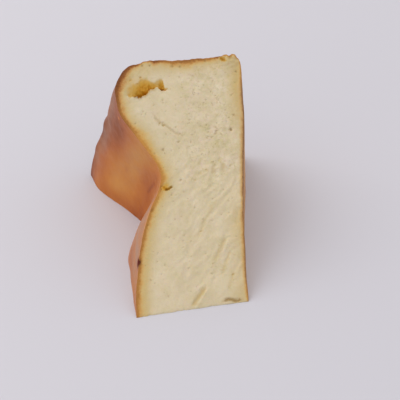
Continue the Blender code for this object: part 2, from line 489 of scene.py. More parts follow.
@dataclass(frozen=True)
class TornCavity:
    """A torn hollow, deep behind a ragged lip and rising softly towards the rim."""

    # Height, reach of the lip, reach of the slope's far end, depth, and how soft the lip is
    stations: Rows = (
        (33.0, 99.9, 100.3, 0.0, 0.30),
        (33.6, 99.7, 100.5, 0.7, 0.30),
        (34.6, 99.8, 100.7, 1.0, 0.30),
        (35.0, 99.9, 102.0, 1.6, 0.30),
        (35.4, 100.0, 104.4, 2.9, 0.30),
        (36.0, 99.8, 105.9, 3.6, 0.30),
        (36.7, 100.1, 106.3, 3.2, 0.30),
        (37.1, 100.8, 106.3, 2.2, 0.50),
        (37.6, 101.1, 105.9, 1.4, 1.00),
        (38.2, 101.6, 105.5, 1.1, 1.00),
        (38.8, 101.4, 104.8, 1.0, 0.80),
        (39.2, 101.2, 104.5, 1.4, 0.50),
        (39.4, 101.0, 104.5, 2.0, 0.35),
        (40.0, 101.0, 104.6, 2.6, 0.30),
        (40.7, 101.0, 104.6, 2.6, 0.30),
        (41.3, 100.8, 105.1, 3.2, 0.30),
        (42.1, 100.2, 105.9, 3.6, 0.80),
        (42.5, 98.7, 106.6, 4.0, 1.60),
        (43.1, 98.5, 107.0, 4.6, 0.60),
        (44.0, 98.3, 107.2, 4.8, 0.25),
        (45.0, 98.0, 107.0, 4.8, 0.25),
        (45.7, 97.6, 106.5, 4.8, 0.25),
        (46.4, 97.5, 105.7, 4.2, 0.25),
        (46.9, 97.8, 105.4, 3.6, 0.30),
        (47.7, 97.9, 105.2, 2.7, 0.50),
        (48.2, 98.0, 105.1, 2.0, 0.80),
        (48.5, 98.1, 105.4, 1.7, 1.10),
        (49.4, 97.9, 105.3, 1.2, 1.30),
        (50.6, 98.0, 105.0, 0.9, 1.50),
        (51.8, 98.6, 104.2, 0.3, 1.50),
        (53.0, 99.2, 103.2, 0.0, 1.50),
    )
    lip_rags: tuple[Lumps, ...] = (Lumps(0.50, 0.9, 7.1), Lumps(0.45, 0.5, 7.1))
    lip_rise: float = 0.28
    lip_width: float = 0.35
    slope_rags: Lumps = Lumps(0.55, 1.8, 2.7)
    # The rags change this much as fast along the reach as up the height
    rag_pace: float = 0.15
    least_run: float = 0.4
    fall_power: float = 1.6
    crags: Lumps = Lumps(0.32, 1.3, 5.5)
    golden_rags: Lumps = Lumps(0.22, 1.3, 5.5)
    golden_depth: float = 4.4
    golden_depth_power: float = 0.6
    golden_fade: float = 0.62
    golden_reach: float = 1.1
    golden_end: float = 0.5
    golden_gain: float = 1.12
    lip_golden: float = 0.25

    def measure(self, spots: Array) -> tuple[Array, Array]:
        """Measure the cavity's depth and how golden it is.

        Args:
            spots: Reach and height of each place.

        Returns:
            The depth under the cut face in millimetres, and a golden share from 0 to 1.
        """
        reach, height = spots.T
        lip, slope, deepest, softness = read_run(self.stations, height)
        lane = np.stack((self.rag_pace * reach, height), axis=1)
        for rags in self.lip_rags:
            lip = lip + rags.at(lane)
        slope = slope + self.slope_rags.at(lane)
        inward = reach - lip
        over_lip = smoothstep(inward / softness, 0.0, 1.0)
        run = np.clip(inward / np.maximum(slope - lip, self.least_run), 0.0, 1.0)
        depth = deepest * over_lip * (1.0 - run) ** self.fall_power * (1.0 + self.crags.at(spots))
        deep = np.clip(deepest / self.golden_depth, 0.0, 1.0)
        stained = inward / np.maximum(slope + self.golden_reach - lip, self.least_run)
        stained = np.clip(stained, 0.0, 1.0)
        golden = over_lip * (1.0 - stained) ** self.golden_fade * deep ** self.golden_depth_power
        golden = golden * smoothstep(stained, 1.0, 1.0 - self.golden_end)
        golden = golden * (1.0 + self.golden_rags.at(spots))
        raised = bell(-inward / self.lip_width - 1.0, 1.0) * (inward < 0.0) * deep
        return depth - self.lip_rise * raised, self.golden_gain * golden + self.lip_golden * raised

    def touches(self, spots: Array, margin: float) -> Array:
        """Find what lies in the box of the cavity.

        Args:
            spots: Reach and height of each place.
            margin: How far outside the box still counts.

        Returns:
            True for each place in it.
        """
        heights, lips, slopes, _, _ = np.array(self.stations).T
        reach, height = spots.T
        inside = (reach > lips.min() - margin) & (reach < slopes.max() + margin)
        return inside & (height > heights.min() - margin) & (height < heights.max() + margin)


@dataclass
class Patch:
    """A part of the slice's surface, in millimetres from the base corner of the tip."""

    points: Array
    faces: Array
    finish: Finish
    traits: dict[Trait, Array] = field(default_factory=dict)

    def faced(self, outward: Direction) -> "Patch":
        """Turn the faces so that they look out of the slice.

        Args:
            outward: A direction out of the slice, somewhere on the patch.

        Returns:
            The patch itself.
        """
        corners = self.points[self.faces]
        normals = np.cross(corners[:, 1] - corners[:, 0], corners[:, 2] - corners[:, 0])
        if normals.sum(axis=0) @ np.array(outward) < 0.0:
            self.faces = self.faces[:, ::-1]
        return self

    def trait(self, name: Trait) -> Array:
        """Return one number for each vertex, 0 where the patch has nothing to tell."""
        return self.traits.get(name, np.zeros(len(self.points)))


def grid_patch(points: Array, finish: Finish, traits: dict[Trait, Array]) -> Patch:
    """Lay a patch between the vertices of a grid.

    Args:
        points: The grid's points, in rows and columns.
        finish: The finish of the patch.
        traits: What each vertex tells, in rows and columns.

    Returns:
        The patch, with two triangles for each square of the grid.
    """
    rows, columns = points.shape[:2]
    index = np.arange(rows * columns).reshape(rows, columns)
    first, second = index[:-1, :-1].ravel(), index[:-1, 1:].ravel()
    third, fourth = index[1:, 1:].ravel(), index[1:, :-1].ravel()
    faces = np.concatenate((
        np.stack((first, second, third), axis=1),
        np.stack((first, third, fourth), axis=1),
    ))
    flat_traits = {name: np.ravel(values) for name, values in traits.items()}
    return Patch(points.reshape(-1, 3), faces, finish, flat_traits)


@dataclass(frozen=True)
class SkinSpot:
    """A patch of the skin that is browner, paler or higher than what lies round it, or that has more
    or less painted sheen.
    """

    station: float
    share: float
    station_spread: float
    share_spread: float
    browning: float = 0.0
    # How much painted sheen the spot adds: the pale surroundings' reflection painted into the skin's
    # colour, taken away where this is below 0
    blush: float = 0.0
    rise: float = 0.0

    def closeness(self, station: Array, share: Array) -> Array:
        """Return 1 at the middle of the spot, falling to 0 away from it."""
        return np.exp(
            -(((station - self.station) / self.station_spread) ** 2)
            - ((share - self.share) / self.share_spread) ** 2
        )


@dataclass(frozen=True)
class Crease:
    """A short fold in the skin, along a line of station and share."""

    line: tuple[Place, ...]
    width: float
    depth: float
    # How much darker the skin is along the fold
    browning: float = 0.0


@dataclass(frozen=True)
class Flake:
    """A torn flake of crust that stands off the rim where the upper cut ends it."""

    height: float
    spread: float
    rise: float
    share_spread: float = 0.018
    # The power that makes its outer edge flat
    FLATNESS: ClassVar[int] = 4

    def measure(self, height: Array, share: Array) -> Array:
        """Return how far the flake stands off the rim at each place."""
        along = np.exp(-(((height - self.height) / self.spread) ** self.FLATNESS))
        return self.rise * along * bell(1.0 - share, self.share_spread)


@dataclass
class BakedCoat:
    """The browned skin over the top, the rounded shoulder and the rim.

    Its columns are told by stations: 0 is the tip edge, 12 the crest, 13 the top of the rim
    and 14 its foot.
    """

    shape: CakeShape
    span_columns: int = 15
    shoulder_columns: int = 40
    rim_columns: int = 100
    rows: int = 84
    tip_fade: float = 6.0
    ripple: Lumps = Lumps(0.22, 9.0, 1.7)
    dimple: Lumps = Lumps(0.05, 2.6, 4.1)
    # The rim's pleats, and how they slant and are drawn out downwards
    pleat: float = 0.375
    pleat_floor: float = -0.6
    pleat_slant: float = 0.10
    pleat_pace: float = 0.12
    pleat_lumps: Lumps = Lumps(2.2, 8.5, 6.3)
    crinkle: Lumps = Lumps(0.22, 2.6, 9.9)
    # The stations over which the rim's relief, its finish, and the crust of the base come in
    rim_relief: Range = (12.3, 13.15)
    rim_finish: Range = (12.2, 13.2)
    base_crust_start: Range = (13.84, 13.92)
    # The rim's relief is lower at its foot
    foot: Range = (14.0, 13.9)
    foot_relief: float = 0.3
    # The upper lobe swells above the ground and curls in where it meets it
    lobe_start: Range = (8.0, 10.5)
    lobe_end: Range = (13.2, 12.4)
    swell: float = 0.75
    swell_height: float = 10.0
    swell_spread: float = 9.0
    swell_elsewhere: float = 0.25
    curl: float = 0.1
    curl_height: float = 1.0
    # The frayed edge of the rim where the upper cut ends it
    fray: Lumps = Lumps(0.22, 1.5, 23.0)
    fray_spread: float = 0.02
    tone_clouds: Lumps = Lumps(0.035, 11.0, 8.8)
    # How brown the skin is from the tip over the crest and down the rim: station, browning
    browning_run: Rows = (
        (0.0, 0.46),
        (2.5, 0.42),
        (5.0, 0.40),
        (6.0, 0.42),
        (7.0, 0.50),
        (8.0, 0.60),
        (8.6, 0.56),
        (9.5, 0.42),
        (10.0, 0.48),
        (10.5, 0.58),
        (11.0, 0.66),
        (12.0, 0.76),
        (13.0, 0.82),
        (13.5, 0.72),
        (14.0, 0.62),
    )
    # How much painted sheen the skin gets: station, share. It is the pale surroundings' reflection at
    # grazing angles, painted in as a greyish pink
    painted_sheen_run: Rows = (
        (0.0, 0.22),
        (1.7, 0.28),
        (2.5, 0.42),
        (3.4, 0.32),
        (5.0, 0.42),
        (5.7, 0.38),
        (6.3, 0.20),
        (7.4, 0.0),
    )
    spots: tuple[SkinSpot, ...] = (
        SkinSpot(10.7, 0.72, 0.8, 0.30, browning=0.06),
        SkinSpot(10.4, 0.64, 0.40, 0.20, browning=0.07),
        SkinSpot(10.2, 0.18, 1.1, 0.20, browning=-0.12),
        SkinSpot(10.5, 0.40, 0.5, 0.18, browning=-0.13),
        SkinSpot(11.3, 0.12, 0.5, 0.20, browning=-0.10),
        SkinSpot(11.6, 0.70, 0.25, 0.12, browning=0.08),
        SkinSpot(9.5, 0.12, 0.5, 0.08, browning=0.05),
        SkinSpot(8.2, 0.95, 1.2, 0.18, browning=-0.12),
        SkinSpot(8.3, 0.80, 0.5, 0.16, browning=-0.06),
        SkinSpot(9.3, 0.62, 0.9, 0.40, browning=-0.10, blush=0.18),
        SkinSpot(9.3, 0.62, 0.4, 0.16, browning=-0.07),
        SkinSpot(10.2, 0.38, 0.7, 0.25, blush=0.12),
        SkinSpot(9.5, 0.04, 0.8, 0.08, browning=0.17),
        # Painted sheen on the lower lobe, which is seen at a grazing angle
        SkinSpot(4.6, 0.70, 1.5, 0.30, browning=0.08, blush=0.42),
        SkinSpot(2.5, 0.62, 1.0, 0.26, browning=0.06, blush=0.30),
        SkinSpot(3.0, 0.15, 1.3, 0.22, browning=0.15),
        SkinSpot(3.6, 0.28, 0.7, 0.18, browning=0.08),
        SkinSpot(5.8, 0.10, 0.6, 0.20, blush=0.35),
        SkinSpot(4.8, 1.0, 1.0, 0.06, blush=-0.30),
        # Painted sheen on the upper lobe's left edge, which faces up-left at a grazing angle
        SkinSpot(11.6, 0.40, 0.5, 0.30, blush=0.35),
        SkinSpot(11.9, 0.83, 0.4, 0.20, browning=-0.05, blush=0.42),
        SkinSpot(8.4, 1.0, 1.0, 0.07, browning=-0.10),
        SkinSpot(4.2, 1.0, 1.6, 0.07, browning=-0.10),
        # Painted light: the upper lobe is paler just above the floor, where light thrown up off the
        # floor falls
        SkinSpot(10.9, 0.04, 0.6, 0.07, browning=-0.06),
        SkinSpot(2.43, 0.94, 0.20, 0.13, browning=1.0, blush=-1.5),
        SkinSpot(12.2, 0.80, 0.5, 0.13, rise=0.50),
        SkinSpot(12.1, 0.560, 0.5, 0.035, rise=-0.60),
        SkinSpot(12.1, 0.485, 0.5, 0.030, rise=0.45),
        SkinSpot(12.1, 0.390, 0.5, 0.040, rise=-0.30),
        SkinSpot(12.0, 0.245, 0.6, 0.048, rise=0.75),
        SkinSpot(10.9, 0.0, 0.8, 0.07, rise=0.60),
        SkinSpot(10.9, 0.90, 0.06, 0.014, browning=-0.5, rise=0.15),
        SkinSpot(9.7, 0.40, 0.12, 0.03, browning=0.05),
        SkinSpot(9.1, 0.55, 0.10, 0.03, browning=0.04),
    )
    creases: tuple[Crease, ...] = (
        Crease(((7.90, 0.42), (7.75, 0.54), (7.58, 0.66)), 0.9, 0.09, 0.09),
        Crease(((8.50, 0.46), (8.30, 0.56)), 1.0, 0.05, 0.03),
    )
    # The crust where a cut shows it: station, how brown it is, and its width
    crust_run: Rows = (
        (0.0, 0.46, 0.80),
        (1.3, 0.46, 0.80),
        (3.0, 0.54, 0.65),
        (3.8, 0.46, 0.70),
        (4.7, 0.35, 0.75),
        (5.5, 0.28, 0.72),
        (6.7, 0.26, 0.92),
        (7.4, 0.24, 0.80),
        (8.0, 0.25, 0.58),
        (8.8, 0.12, 0.72),
        (9.6, 0.15, 1.10),
        (10.3, 0.56, 0.66),
        (11.1, 0.68, 0.95),
        (11.9, 0.90, 0.88),
        (12.3, 1.00, 1.32),
        (12.5, 1.00, 1.00),
        (12.80, 0.90, 0.60),
        (12.93, 0.50, 0.25),
        (13.02, 0.60, 0.25),
        (13.10, 1.00, 0.62),
        (13.25, 0.52, 0.65),
        (13.41, 0.70, 1.05),
        (13.57, 0.68, 0.58),
        (13.69, 0.42, 0.56),
        (13.77, 0.90, 0.40),
        (13.80, 0.40, 0.30),
        (13.85, 0.30, 0.25),
        (13.90, 0.40, 0.30),
        (14.0, 0.40, 0.25),
    )
    # How much yellower the cream is beside the skin: station, share
    warm_run: Rows = ((0.0, 1.7), (3.0, 1.5), (5.0, 1.0))
    flakes: tuple[Flake, ...] = (
        Flake(3.8, 1.3, 0.95, 0.030),
        Flake(7.5, 1.3, 0.90),
        Flake(10.7, 1.5, 0.55),
        Flake(13.4, 1.2, 0.30),
        Flake(19.2, 1.4, 0.20),
        Flake(26.0, 2.6, -0.22),
        Flake(31.2, 2.2, -0.42),
        Flake(41.0, 1.2, 0.20),
        Flake(46.5, 1.9, -0.55),
        Flake(52.0, 2.2, 0.35),
    )

    def stations(self) -> Array:
        """Number the columns by their stations.

        Returns:
            The station of each column, from the tip to the foot of the rim.
        """
        crest = self.shape.crest_station
        skin = np.arange(int(crest) * self.span_columns + 1) / self.span_columns
        shoulder = crest + (np.arange(self.shoulder_columns) + 1.0) / self.shoulder_columns
        rim = crest + 1.0 + (np.arange(self.rim_columns) + 1.0) / self.rim_columns
        return np.concatenate((skin, shoulder, rim))

    def outline(self) -> tuple[Array, Array, Array]:
        """Lay out the grid without relief.

        Returns:
            Reach, height and share of every vertex, with a row for each share.
        """
        shares = np.arange(self.rows + 1) / self.rows
        down = 1.0 - (np.arange(self.rim_columns) + 1.0)[:, None] / self.rim_columns
        lines = []
        for share in shares:
            run = self.shape.skin_run(share, self.span_columns, self.shoulder_columns)
            foot = np.array((self.shape.rim_reach(0.0, share), 0.0))
            lines.append(np.concatenate((run, run[-1] * down + foot * (1.0 - down))))
        grid = np.array(lines)
        return grid[..., 0], grid[..., 1], np.broadcast_to(shares[:, None], grid.shape[:2])

    def folds(self, points: Array, station: Array, share: Array) -> tuple[Array, Array]:
        """Measure the creases.

        Args:
            points: The grid's points, before relief.
            station: The station number of each point.
            share: The share of the way round of each point.

        Returns:
            The depth in millimetres, and how much darker each point is along the creases.
        """
        flat = points.reshape(-1, 3)
        depth = np.zeros(len(flat))
        browning = np.zeros(len(flat))
        for crease in self.creases:
            line = []
            for place_station, place_share in crease.line:
                column = np.abs(station[0] - place_station).argmin()
                row = np.abs(share[:, 0] - place_share).argmin()
                line.append(points[row, column])
            distance, _, _ = along_line(flat, np.array(line))
            closeness = bell(distance, crease.width)
            depth += crease.depth * closeness
            browning += crease.browning * closeness
        return depth.reshape(station.shape), browning.reshape(station.shape)

    def relief(self, points: Array, station: Array, share: Array) -> Array:
        """Return how far the skin stands out of the solid's smooth form.

        Args:
            points: The grid's points, before relief.
            station: The station number of each point.
            share: The share of the way round of each point.

        Returns:
            The distance outward in millimetres, for each point.
        """
        on_rim = smoothstep(station, *self.rim_relief)
        level = points[..., 2]
        lobe = smoothstep(station, *self.lobe_start) * smoothstep(station, *self.lobe_end)
        sag = self.swell * bell(level - self.swell_height, self.swell_spread)
        sag = sag - self.curl * np.exp(-level / self.curl_height)
        sag = sag * (self.swell_elsewhere + (1.0 - self.swell_elsewhere) * lobe)
        skin = self.ripple.at(points) + self.dimple.at(points) + sag
        crest = self.shape.crest_station
        arc = share * self.shape.wedge_angle * self.shape.rim_radius
        down = (station - crest - 1.0) * self.shape.tip_height
        lane = np.stack((arc + self.pleat_slant * down, self.pleat_pace * down), axis=-1)
        ridge = np.clip(1.0 - np.abs(self.pleat_lumps.at(lane)), self.pleat_floor, 1.0)
        foot = self.foot_relief + (1.0 - self.foot_relief) * smoothstep(station, *self.foot)
        rim = (self.pleat * ridge + self.crinkle.at(points)) * on_rim * foot
        height = -points[..., 0]
        torn = sum(flake.measure(height, share) for flake in self.flakes) * (station > crest)
        fray = self.fray.at(points) * on_rim * bell(1.0 - share, self.fray_spread)
        rise = sum(spot.rise * spot.closeness(station, share) for spot in self.spots)
        fold_depth, _ = self.folds(points, station, share)
        return skin * (1.0 - on_rim) + rise + rim - fold_depth + torn + fray

    def browning(self, points: Array, station: Array, share: Array) -> Array:
        """Tell how brown the skin is.

        Args:
            points: The grid's points.
            station: The station number of each point.
            share: The share of the way round of each point.

        Returns:
            The browning of each point, from 0 to 1.
        """
        (tone,) = read_run(self.browning_run, station)
        for spot in self.spots:
            tone = tone + spot.browning * spot.closeness(station, share)
        _, fold_darkening = self.folds(points, station, share)
        return tone + fold_darkening + self.tone_clouds.at(points)

    def build(self) -> tuple[Patch, Array]:
        """Build the coat.

        Returns:
            The patch, and reach and height of every vertex in a grid of rows and columns.
        """
        reach, height, share = self.outline()
        station = np.broadcast_to(self.stations(), reach.shape)
        smooth = self.shape.place(reach, height, share)
        relief = self.relief(smooth, station, share) * np.minimum(1.0, reach / self.tip_fade)
        run_reach, run_height = np.gradient(reach, axis=1), np.gradient(height, axis=1)
        length = np.hypot(run_reach, run_height)
        reach = reach - relief * run_height / length
        height = height + relief * run_reach / length
        height[:, -1] = 0.0
        points = self.shape.place(reach, height, share)
        (blush,) = read_run(self.painted_sheen_run, station)
        (warmth,) = read_run(self.warm_run, station)
        crust_tone, crust_width = read_run(self.crust_run, station)
        # Painted sheen of the spots, on top of the run's
        painted_sheen_share = sum(spot.blush * spot.closeness(station, share) for spot in self.spots)
        patch = grid_patch(points, Finish.SKIN, {
            Trait.BROWNING: self.browning(points, station, share),
            Trait.PAINTED_SHEEN: blush + painted_sheen_share,
            Trait.RIM: smoothstep(station, *self.rim_finish),
            Trait.CRUST_TONE: crust_tone,
            Trait.CRUST_WIDTH: crust_width,
            Trait.BASE_CRUST: smoothstep(station, *self.base_crust_start),
            Trait.WARMTH: warmth,
        })
        return patch.faced((-1.0, 0.0, 0.0)), np.stack((reach, height), axis=-1)


@dataclass
class BakedBase:
    """The flat, baked underside of the cake."""

    shape: CakeShape
    columns: int = 100
    wrinkle: Lumps = Lumps(0.16, 7.0, 12.5)
    crinkle: Lumps = Lumps(0.06, 2.2, 15.5)
    tip_fade: float = 6.0
    rim_fade: float = 3.0
    tone_clouds: Lumps = Lumps(0.08, 9.0, 18.1)
    # How brown the base is from the tip to the rim: reach, browning
    browning_run: Rows = (
        (0.0, 0.25),
        (8.0, 0.40),
        (50.0, 0.50),
        (90.0, 0.55),
        (112.0, 0.50),
    )
    # The crust where a cut shows it: reach, how brown it is, and its width
    crust_run: Rows = (
        (0.0, 0.35, 0.20),
        (4.0, 0.50, 0.35),
        (11.5, 0.85, 0.40),
        (23.0, 0.75, 0.45),
        (34.0, 0.70, 0.50),
        (45.0, 0.95, 0.36),
        (62.0, 0.98, 0.40),
        (80.0, 0.98, 0.44),
        (96.0, 0.90, 0.50),
        (104.0, 0.40, 0.36),
        (112.0, 0.32, 0.20),
    )
    # How much yellower the cream is beside the base: reach, share
    warm_run: Rows = (
        (0.0, 0.8),
        (4.0, 0.9),
        (11.5, 0.5),
        (23.0, 0.5),
        (34.0, 1.0),
        (45.0, 0.3),
        (59.0, 0.1),
        (73.0, 0.1),
        (84.0, 1.0),
        (96.0, 1.6),
        (112.0, 1.1),
    )

    def build(self, foot_reach: Array) -> tuple[Patch, Array]:
        """Build the base.

        Args:
            foot_reach: The reach of the foot of the rim, for each row.

        Returns:
            The patch, and reach and height of every vertex in a grid of rows and columns.
        """
        rows = len(foot_reach)
        share = np.broadcast_to((np.arange(rows) / (rows - 1.0))[:, None], (rows, self.columns + 1))
        reach = foot_reach[:, None] * np.arange(self.columns + 1) / self.columns
        smooth = self.shape.place(reach, 0.0 * reach, share)
        fade = smoothstep(reach, 0.0, self.tip_fade)
        fade = fade * smoothstep(reach[:, -1:] - reach, 0.0, self.rim_fade)
        height = -(self.wrinkle.at(smooth) + self.crinkle.at(smooth)) * fade
        points = self.shape.place(reach, height, share)
        (browning,) = read_run(self.browning_run, reach)
        (warmth,) = read_run(self.warm_run, reach)
        crust_tone, crust_width = read_run(self.crust_run, reach)
        patch = grid_patch(points, Finish.BASE, {
            Trait.BROWNING: browning + self.tone_clouds.at(points),
            Trait.CRUST_TONE: crust_tone,
            Trait.CRUST_WIDTH: crust_width,
            Trait.BASE_CRUST: np.ones(reach.shape),
            Trait.WARMTH: warmth,
        })
        return patch.faced((1.0, 0.0, 0.0)), np.stack((reach, height), axis=-1)


@dataclass
class CutRelief:
    """The crumb, tears, pits and knife marks of the upper cut face."""

    shape: CakeShape
    wave: Lumps = Lumps(0.5, 13.0)
    wave_fade: float = 6.0
    # The torn corner at the foot of the rim
    torn_lift: float = 1.8
    torn_height: float = 4.8
    torn_spread: float = 4.2
    torn_rags: Lumps = Lumps(0.5, 1.6, 21.0)
    # The rounded tip edge
    nose: float = 0.35
    nose_reach: float = 0.45
    crumb: tuple[Lumps, ...] = (
        Lumps(0.13, 3.0, 35.0),
        Lumps(0.09, 1.4, 35.0),
        Lumps(0.06, 0.8, 35.0),
    )
    # How coarse the crumb is, and how much coarser where it is torn, even, both, or curdled
    grit: float = 0.6
    torn_grit: float = 0.3
    even_grit: float = -0.15
    torn_even_grit: float = -0.4
    curd_grit: float = 0.9
    even_height: Range = (14.0, 30.0)
    even_reach: Range = (66.0, 44.0)
    # The crumb is torn rather than cut clean between two reaches and below a height
    torn_from: Range = (3.0, 14.0)
    torn_to: Range = (82.0, 55.0)
    torn_below: Range = (40.0, 24.0)
    # Torn ridges: their lumps, and how long and how wide they are
    ridges: tuple[tuple[Lumps, float, float], ...] = (
        (Lumps(0.42, 1.0, 33.0), 7.0, 3.0),
        (Lumps(0.20, 1.0, 34.0), 3.8, 1.7),
    )
    ridge_course: Place = (0.8, -0.6)
    ridge_bend: Lumps = Lumps(0.8, 7.0, 31.0)
    # How far the outlines of tears and pits wander, along the cut and up it
    wander: tuple[tuple[Lumps, Lumps], ...] = (
        (Lumps(0.45, 2.2, 51.0), Lumps(0.45, 2.2, 53.0)),
        (Lumps(0.22, 0.8, 51.0), Lumps(0.22, 0.8, 53.0)),
    )
    # The low lip that the knife left beside the crust
    lip: float = 0.10
    lip_away: float = 0.5
    lip_width: float = 0.9
    lip_fade: float = 0.4
    # How far from the crust all other relief is whole
    edge_fade: float = 1.0
    cavity: TornCavity = TornCavity()
    # How much brown the cavity's deep part gets as painted shade, and between which depths that comes
    # in
    cavity_painted_shade: float = 0.22
    cavity_painted_shade_depth: Range = (2.2, 4.8)
    # How the golden stain of tears and pits spreads beyond them
    tear_golden_power: float = 0.6
    pit_golden_power: float = 0.8
    tears: tuple[Tear, ...] = (
        Tear(((55.2, 37.2), (55.4, 36.0), (54.7, 34.9)), 0.50, 0.4, golden=0.60, brown=0.05),
        Tear(((54.5, 36.9), (54.1, 36.6)), 0.45, 0.3, golden=0.5, brown=0.15),
        Tear(((54.6, 34.9), (54.1, 34.3), (53.9, 33.6)), 0.55, 1.0, golden=0.8, brown=0.62),
        Tear(((54.0, 33.6), (54.4, 32.9), (55.0, 31.8)), 0.42, 0.8, lip=0.22, golden=0.5,
             brown=0.48),
        Tear(((1.0, 23.7), (4.2, 21.2), (6.6, 19.4), (8.8, 17.7)), 0.95, 0.60, lip=0.30, golden=0.22),
        Tear(((18.6, 14.3), (22.6, 11.8), (26.0, 10.2), (29.4, 8.4)), 1.10, 0.28, lip=0.20,
             golden=0.18),
        Tear(((1.4, 10.4), (2.1, 8.4), (1.6, 7.2), (1.3, 5.4), (1.0, 4.2), (0.9, 2.6)), 0.72, 0.60,
             lip=0.22, golden=0.26, brown=0.46),
        Tear(((112.6, 9.8), (111.6, 8.6), (110.9, 7.2)), 0.60, 0.45, lip=0.10, golden=1.0,
             brown=0.50),
        Tear(((112.5, 6.4), (112.4, 4.4)), 0.50, 0.25, golden=0.35, brown=0.20),
        Tear(((29.4, 21.9), (34.8, 18.9), (40.3, 16.2), (45.8, 13.3)), 1.0, 0.20, lip=0.06,
             golden=0.15),
        Tear(((45.4, 24.5), (49.4, 20.5), (51.7, 16.9), (54.8, 13.0)), 1.0, 0.18, lip=0.06),
        Tear(((12.5, 10.8), (18.4, 8.7), (24.0, 6.3)), 0.9, 0.18, lip=0.06, golden=0.16),
        Tear(((5.6, 7.9), (13.8, 5.3)), 0.8, 0.16, lip=0.05, golden=0.16),
        Tear(((89.7, 39.7), (86.6, 38.3), (84.2, 35.9), (81.7, 32.5), (79.6, 30.5), (77.8, 26.8)),
             0.62, 0.34, lip=0.16, golden=0.13, brown=0.13),
        Tear(((62.7, 13.8), (58.9, 13.3)), 1.2, 0.16, golden=0.16, brown=0.05),
        Tear(((63.2, 9.5), (58.6, 8.9)), 1.05, 0.20, golden=0.17, brown=0.06),
        Tear(((85.9, 52.9), (84.8, 50.7)), 0.45, 0.45, golden=0.4, brown=0.3),
    )
    pits: tuple[Pit, ...] = (
        Pit(22.8, 46.7, 1.25, 0.55, brown=1.6),
        Pit(45.4, 41.0, 1.10, 0.40, golden=0.9, brown=0.30),
        Pit(55.8, 34.4, 1.30, golden=0.45),
        Pit(54.2, 36.0, 1.10, golden=0.34),
        Pit(106.0, 49.2, 3.20, golden=0.18),
        Pit(106.5, 44.0, 3.60, golden=0.12),
        # Painted shade: three dark dots just under the cavity's lip, where its deep floor lies in
        # shadow
        Pit(98.3, 48.0, 0.55, brown=0.90),
        Pit(97.9, 46.7, 0.45, brown=0.95),
        Pit(97.7, 45.5, 0.50, brown=0.90),
        Pit(99.8, 42.2, 1.20, golden=0.20),
        Pit(100.8, 39.2, 1.20, golden=0.16),
        Pit(60.3, 16.4, 0.90, 0.32, golden=0.20),
        Pit(59.7, 19.0, 0.80, 0.28, golden=0.20),
        Pit(56.9, 21.7, 0.80, 0.30, golden=0.20),
        Pit(64.8, 11.0, 0.70, 0.30, golden=0.20),
    )
    # Small pits, all as golden: reach, height, radius, depth, and how brown
    small_golden: float = 0.15
    small_pits: Rows = (
        (75.2, 29.0, 0.60, 0.45, 0.25), (72.3, 35.7, 0.60, 0.45, 0.30),
        (57.4, 27.9, 0.60, 0.50, 0.25), (51.5, 31.9, 0.45, 0.35, 0.15),
        (78.3, 5.8, 0.75, 0.85, 0.45), (77.7, 22.8, 0.40, 0.30, 0.15),
        (77.0, 12.6, 0.55, 0.40, 0.25), (78.3, 12.1, 0.45, 0.35, 0.25),
        (75.8, 14.4, 0.45, 0.35, 0.15), (74.5, 23.3, 0.45, 0.30, 0.15),
        (79.5, 34.3, 0.40, 0.30, 0.15), (106.3, 50.0, 0.55, 0.35, 0.22),
        (107.0, 45.6, 0.50, 0.35, 0.25), (23.0, 48.0, 0.40, 0.30, 0.10),
        (22.0, 38.6, 0.40, 0.30, 0.10), (112.7, 44.9, 0.50, 0.30, 0.45),
        (112.3, 41.3, 0.55, 0.30, 0.45), (111.2, 31.4, 0.60, 0.25, 0.32),
        (110.3, 27.8, 0.60, 0.25, 0.32), (111.5, 16.5, 0.50, 0.25, 0.35),
        (84.9, 4.3, 0.50, 0.35, 0.35), (81.6, 16.5, 0.40, 0.30, 0.20),
        (87.7, 7.9, 0.40, 0.30, 0.20), (83.8, 6.6, 0.40, 0.30, 0.20),
        (94.8, 12.3, 0.35, 0.30, 0.20), (94.4, 5.1, 0.40, 0.30, 0.20),
        (105.1, 2.6, 0.50, 0.35, 0.30),
    )
    # A scatter of very small pits, whose depth is told in radii
    scattered: int = 150
    scatter_seed: int = 41
    scatter_reach: Range = (3.0, 108.0)
    scatter_height: Range = (3.0, 52.0)
    scatter_radius: Range = (0.22, 0.42)
    scatter_depth: float = 0.7
    scatter_golden: float = 0.1
    scatter_brown: float = 0.15
    # The crumb is curdled in patches past a reach and below a height, and a little elsewhere
    curd_patches: Lumps = Lumps(0.8, 9.0, 71.0)
    curd_middle: float = 0.75
    curd_reach: Range = (48.0, 66.0)
    curd_height: Range = (34.0, 20.0)
    least_curd: float = 0.12
    # It is curdled under the shoulder too: reach and height, how much, and how far
    shoulder: Place = (105.0, 47.0)
    shoulder_curd: float = 0.5
    shoulder_spread: float = 8.0

    def all_pits(self) -> tuple[Pit, ...]:
        """Gather the pits.

        Returns:
            The placed pits, the small ones, and a seeded scatter of very small ones.
        """
        small = tuple(
            Pit(*row[:4], golden=self.small_golden, brown=row[4]) for row in self.small_pits
        )
        draw = np.random.default_rng(self.scatter_seed)
        limits = (self.scatter_reach, self.scatter_height, self.scatter_radius)
        drawn = [draw.uniform(*limit, self.scattered).tolist() for limit in limits]
        scattered = tuple(
            Pit(*place, self.scatter_depth * place[2], self.scatter_golden, self.scatter_brown)
            for place in zip(*drawn)
        )
        return self.pits + small + scattered

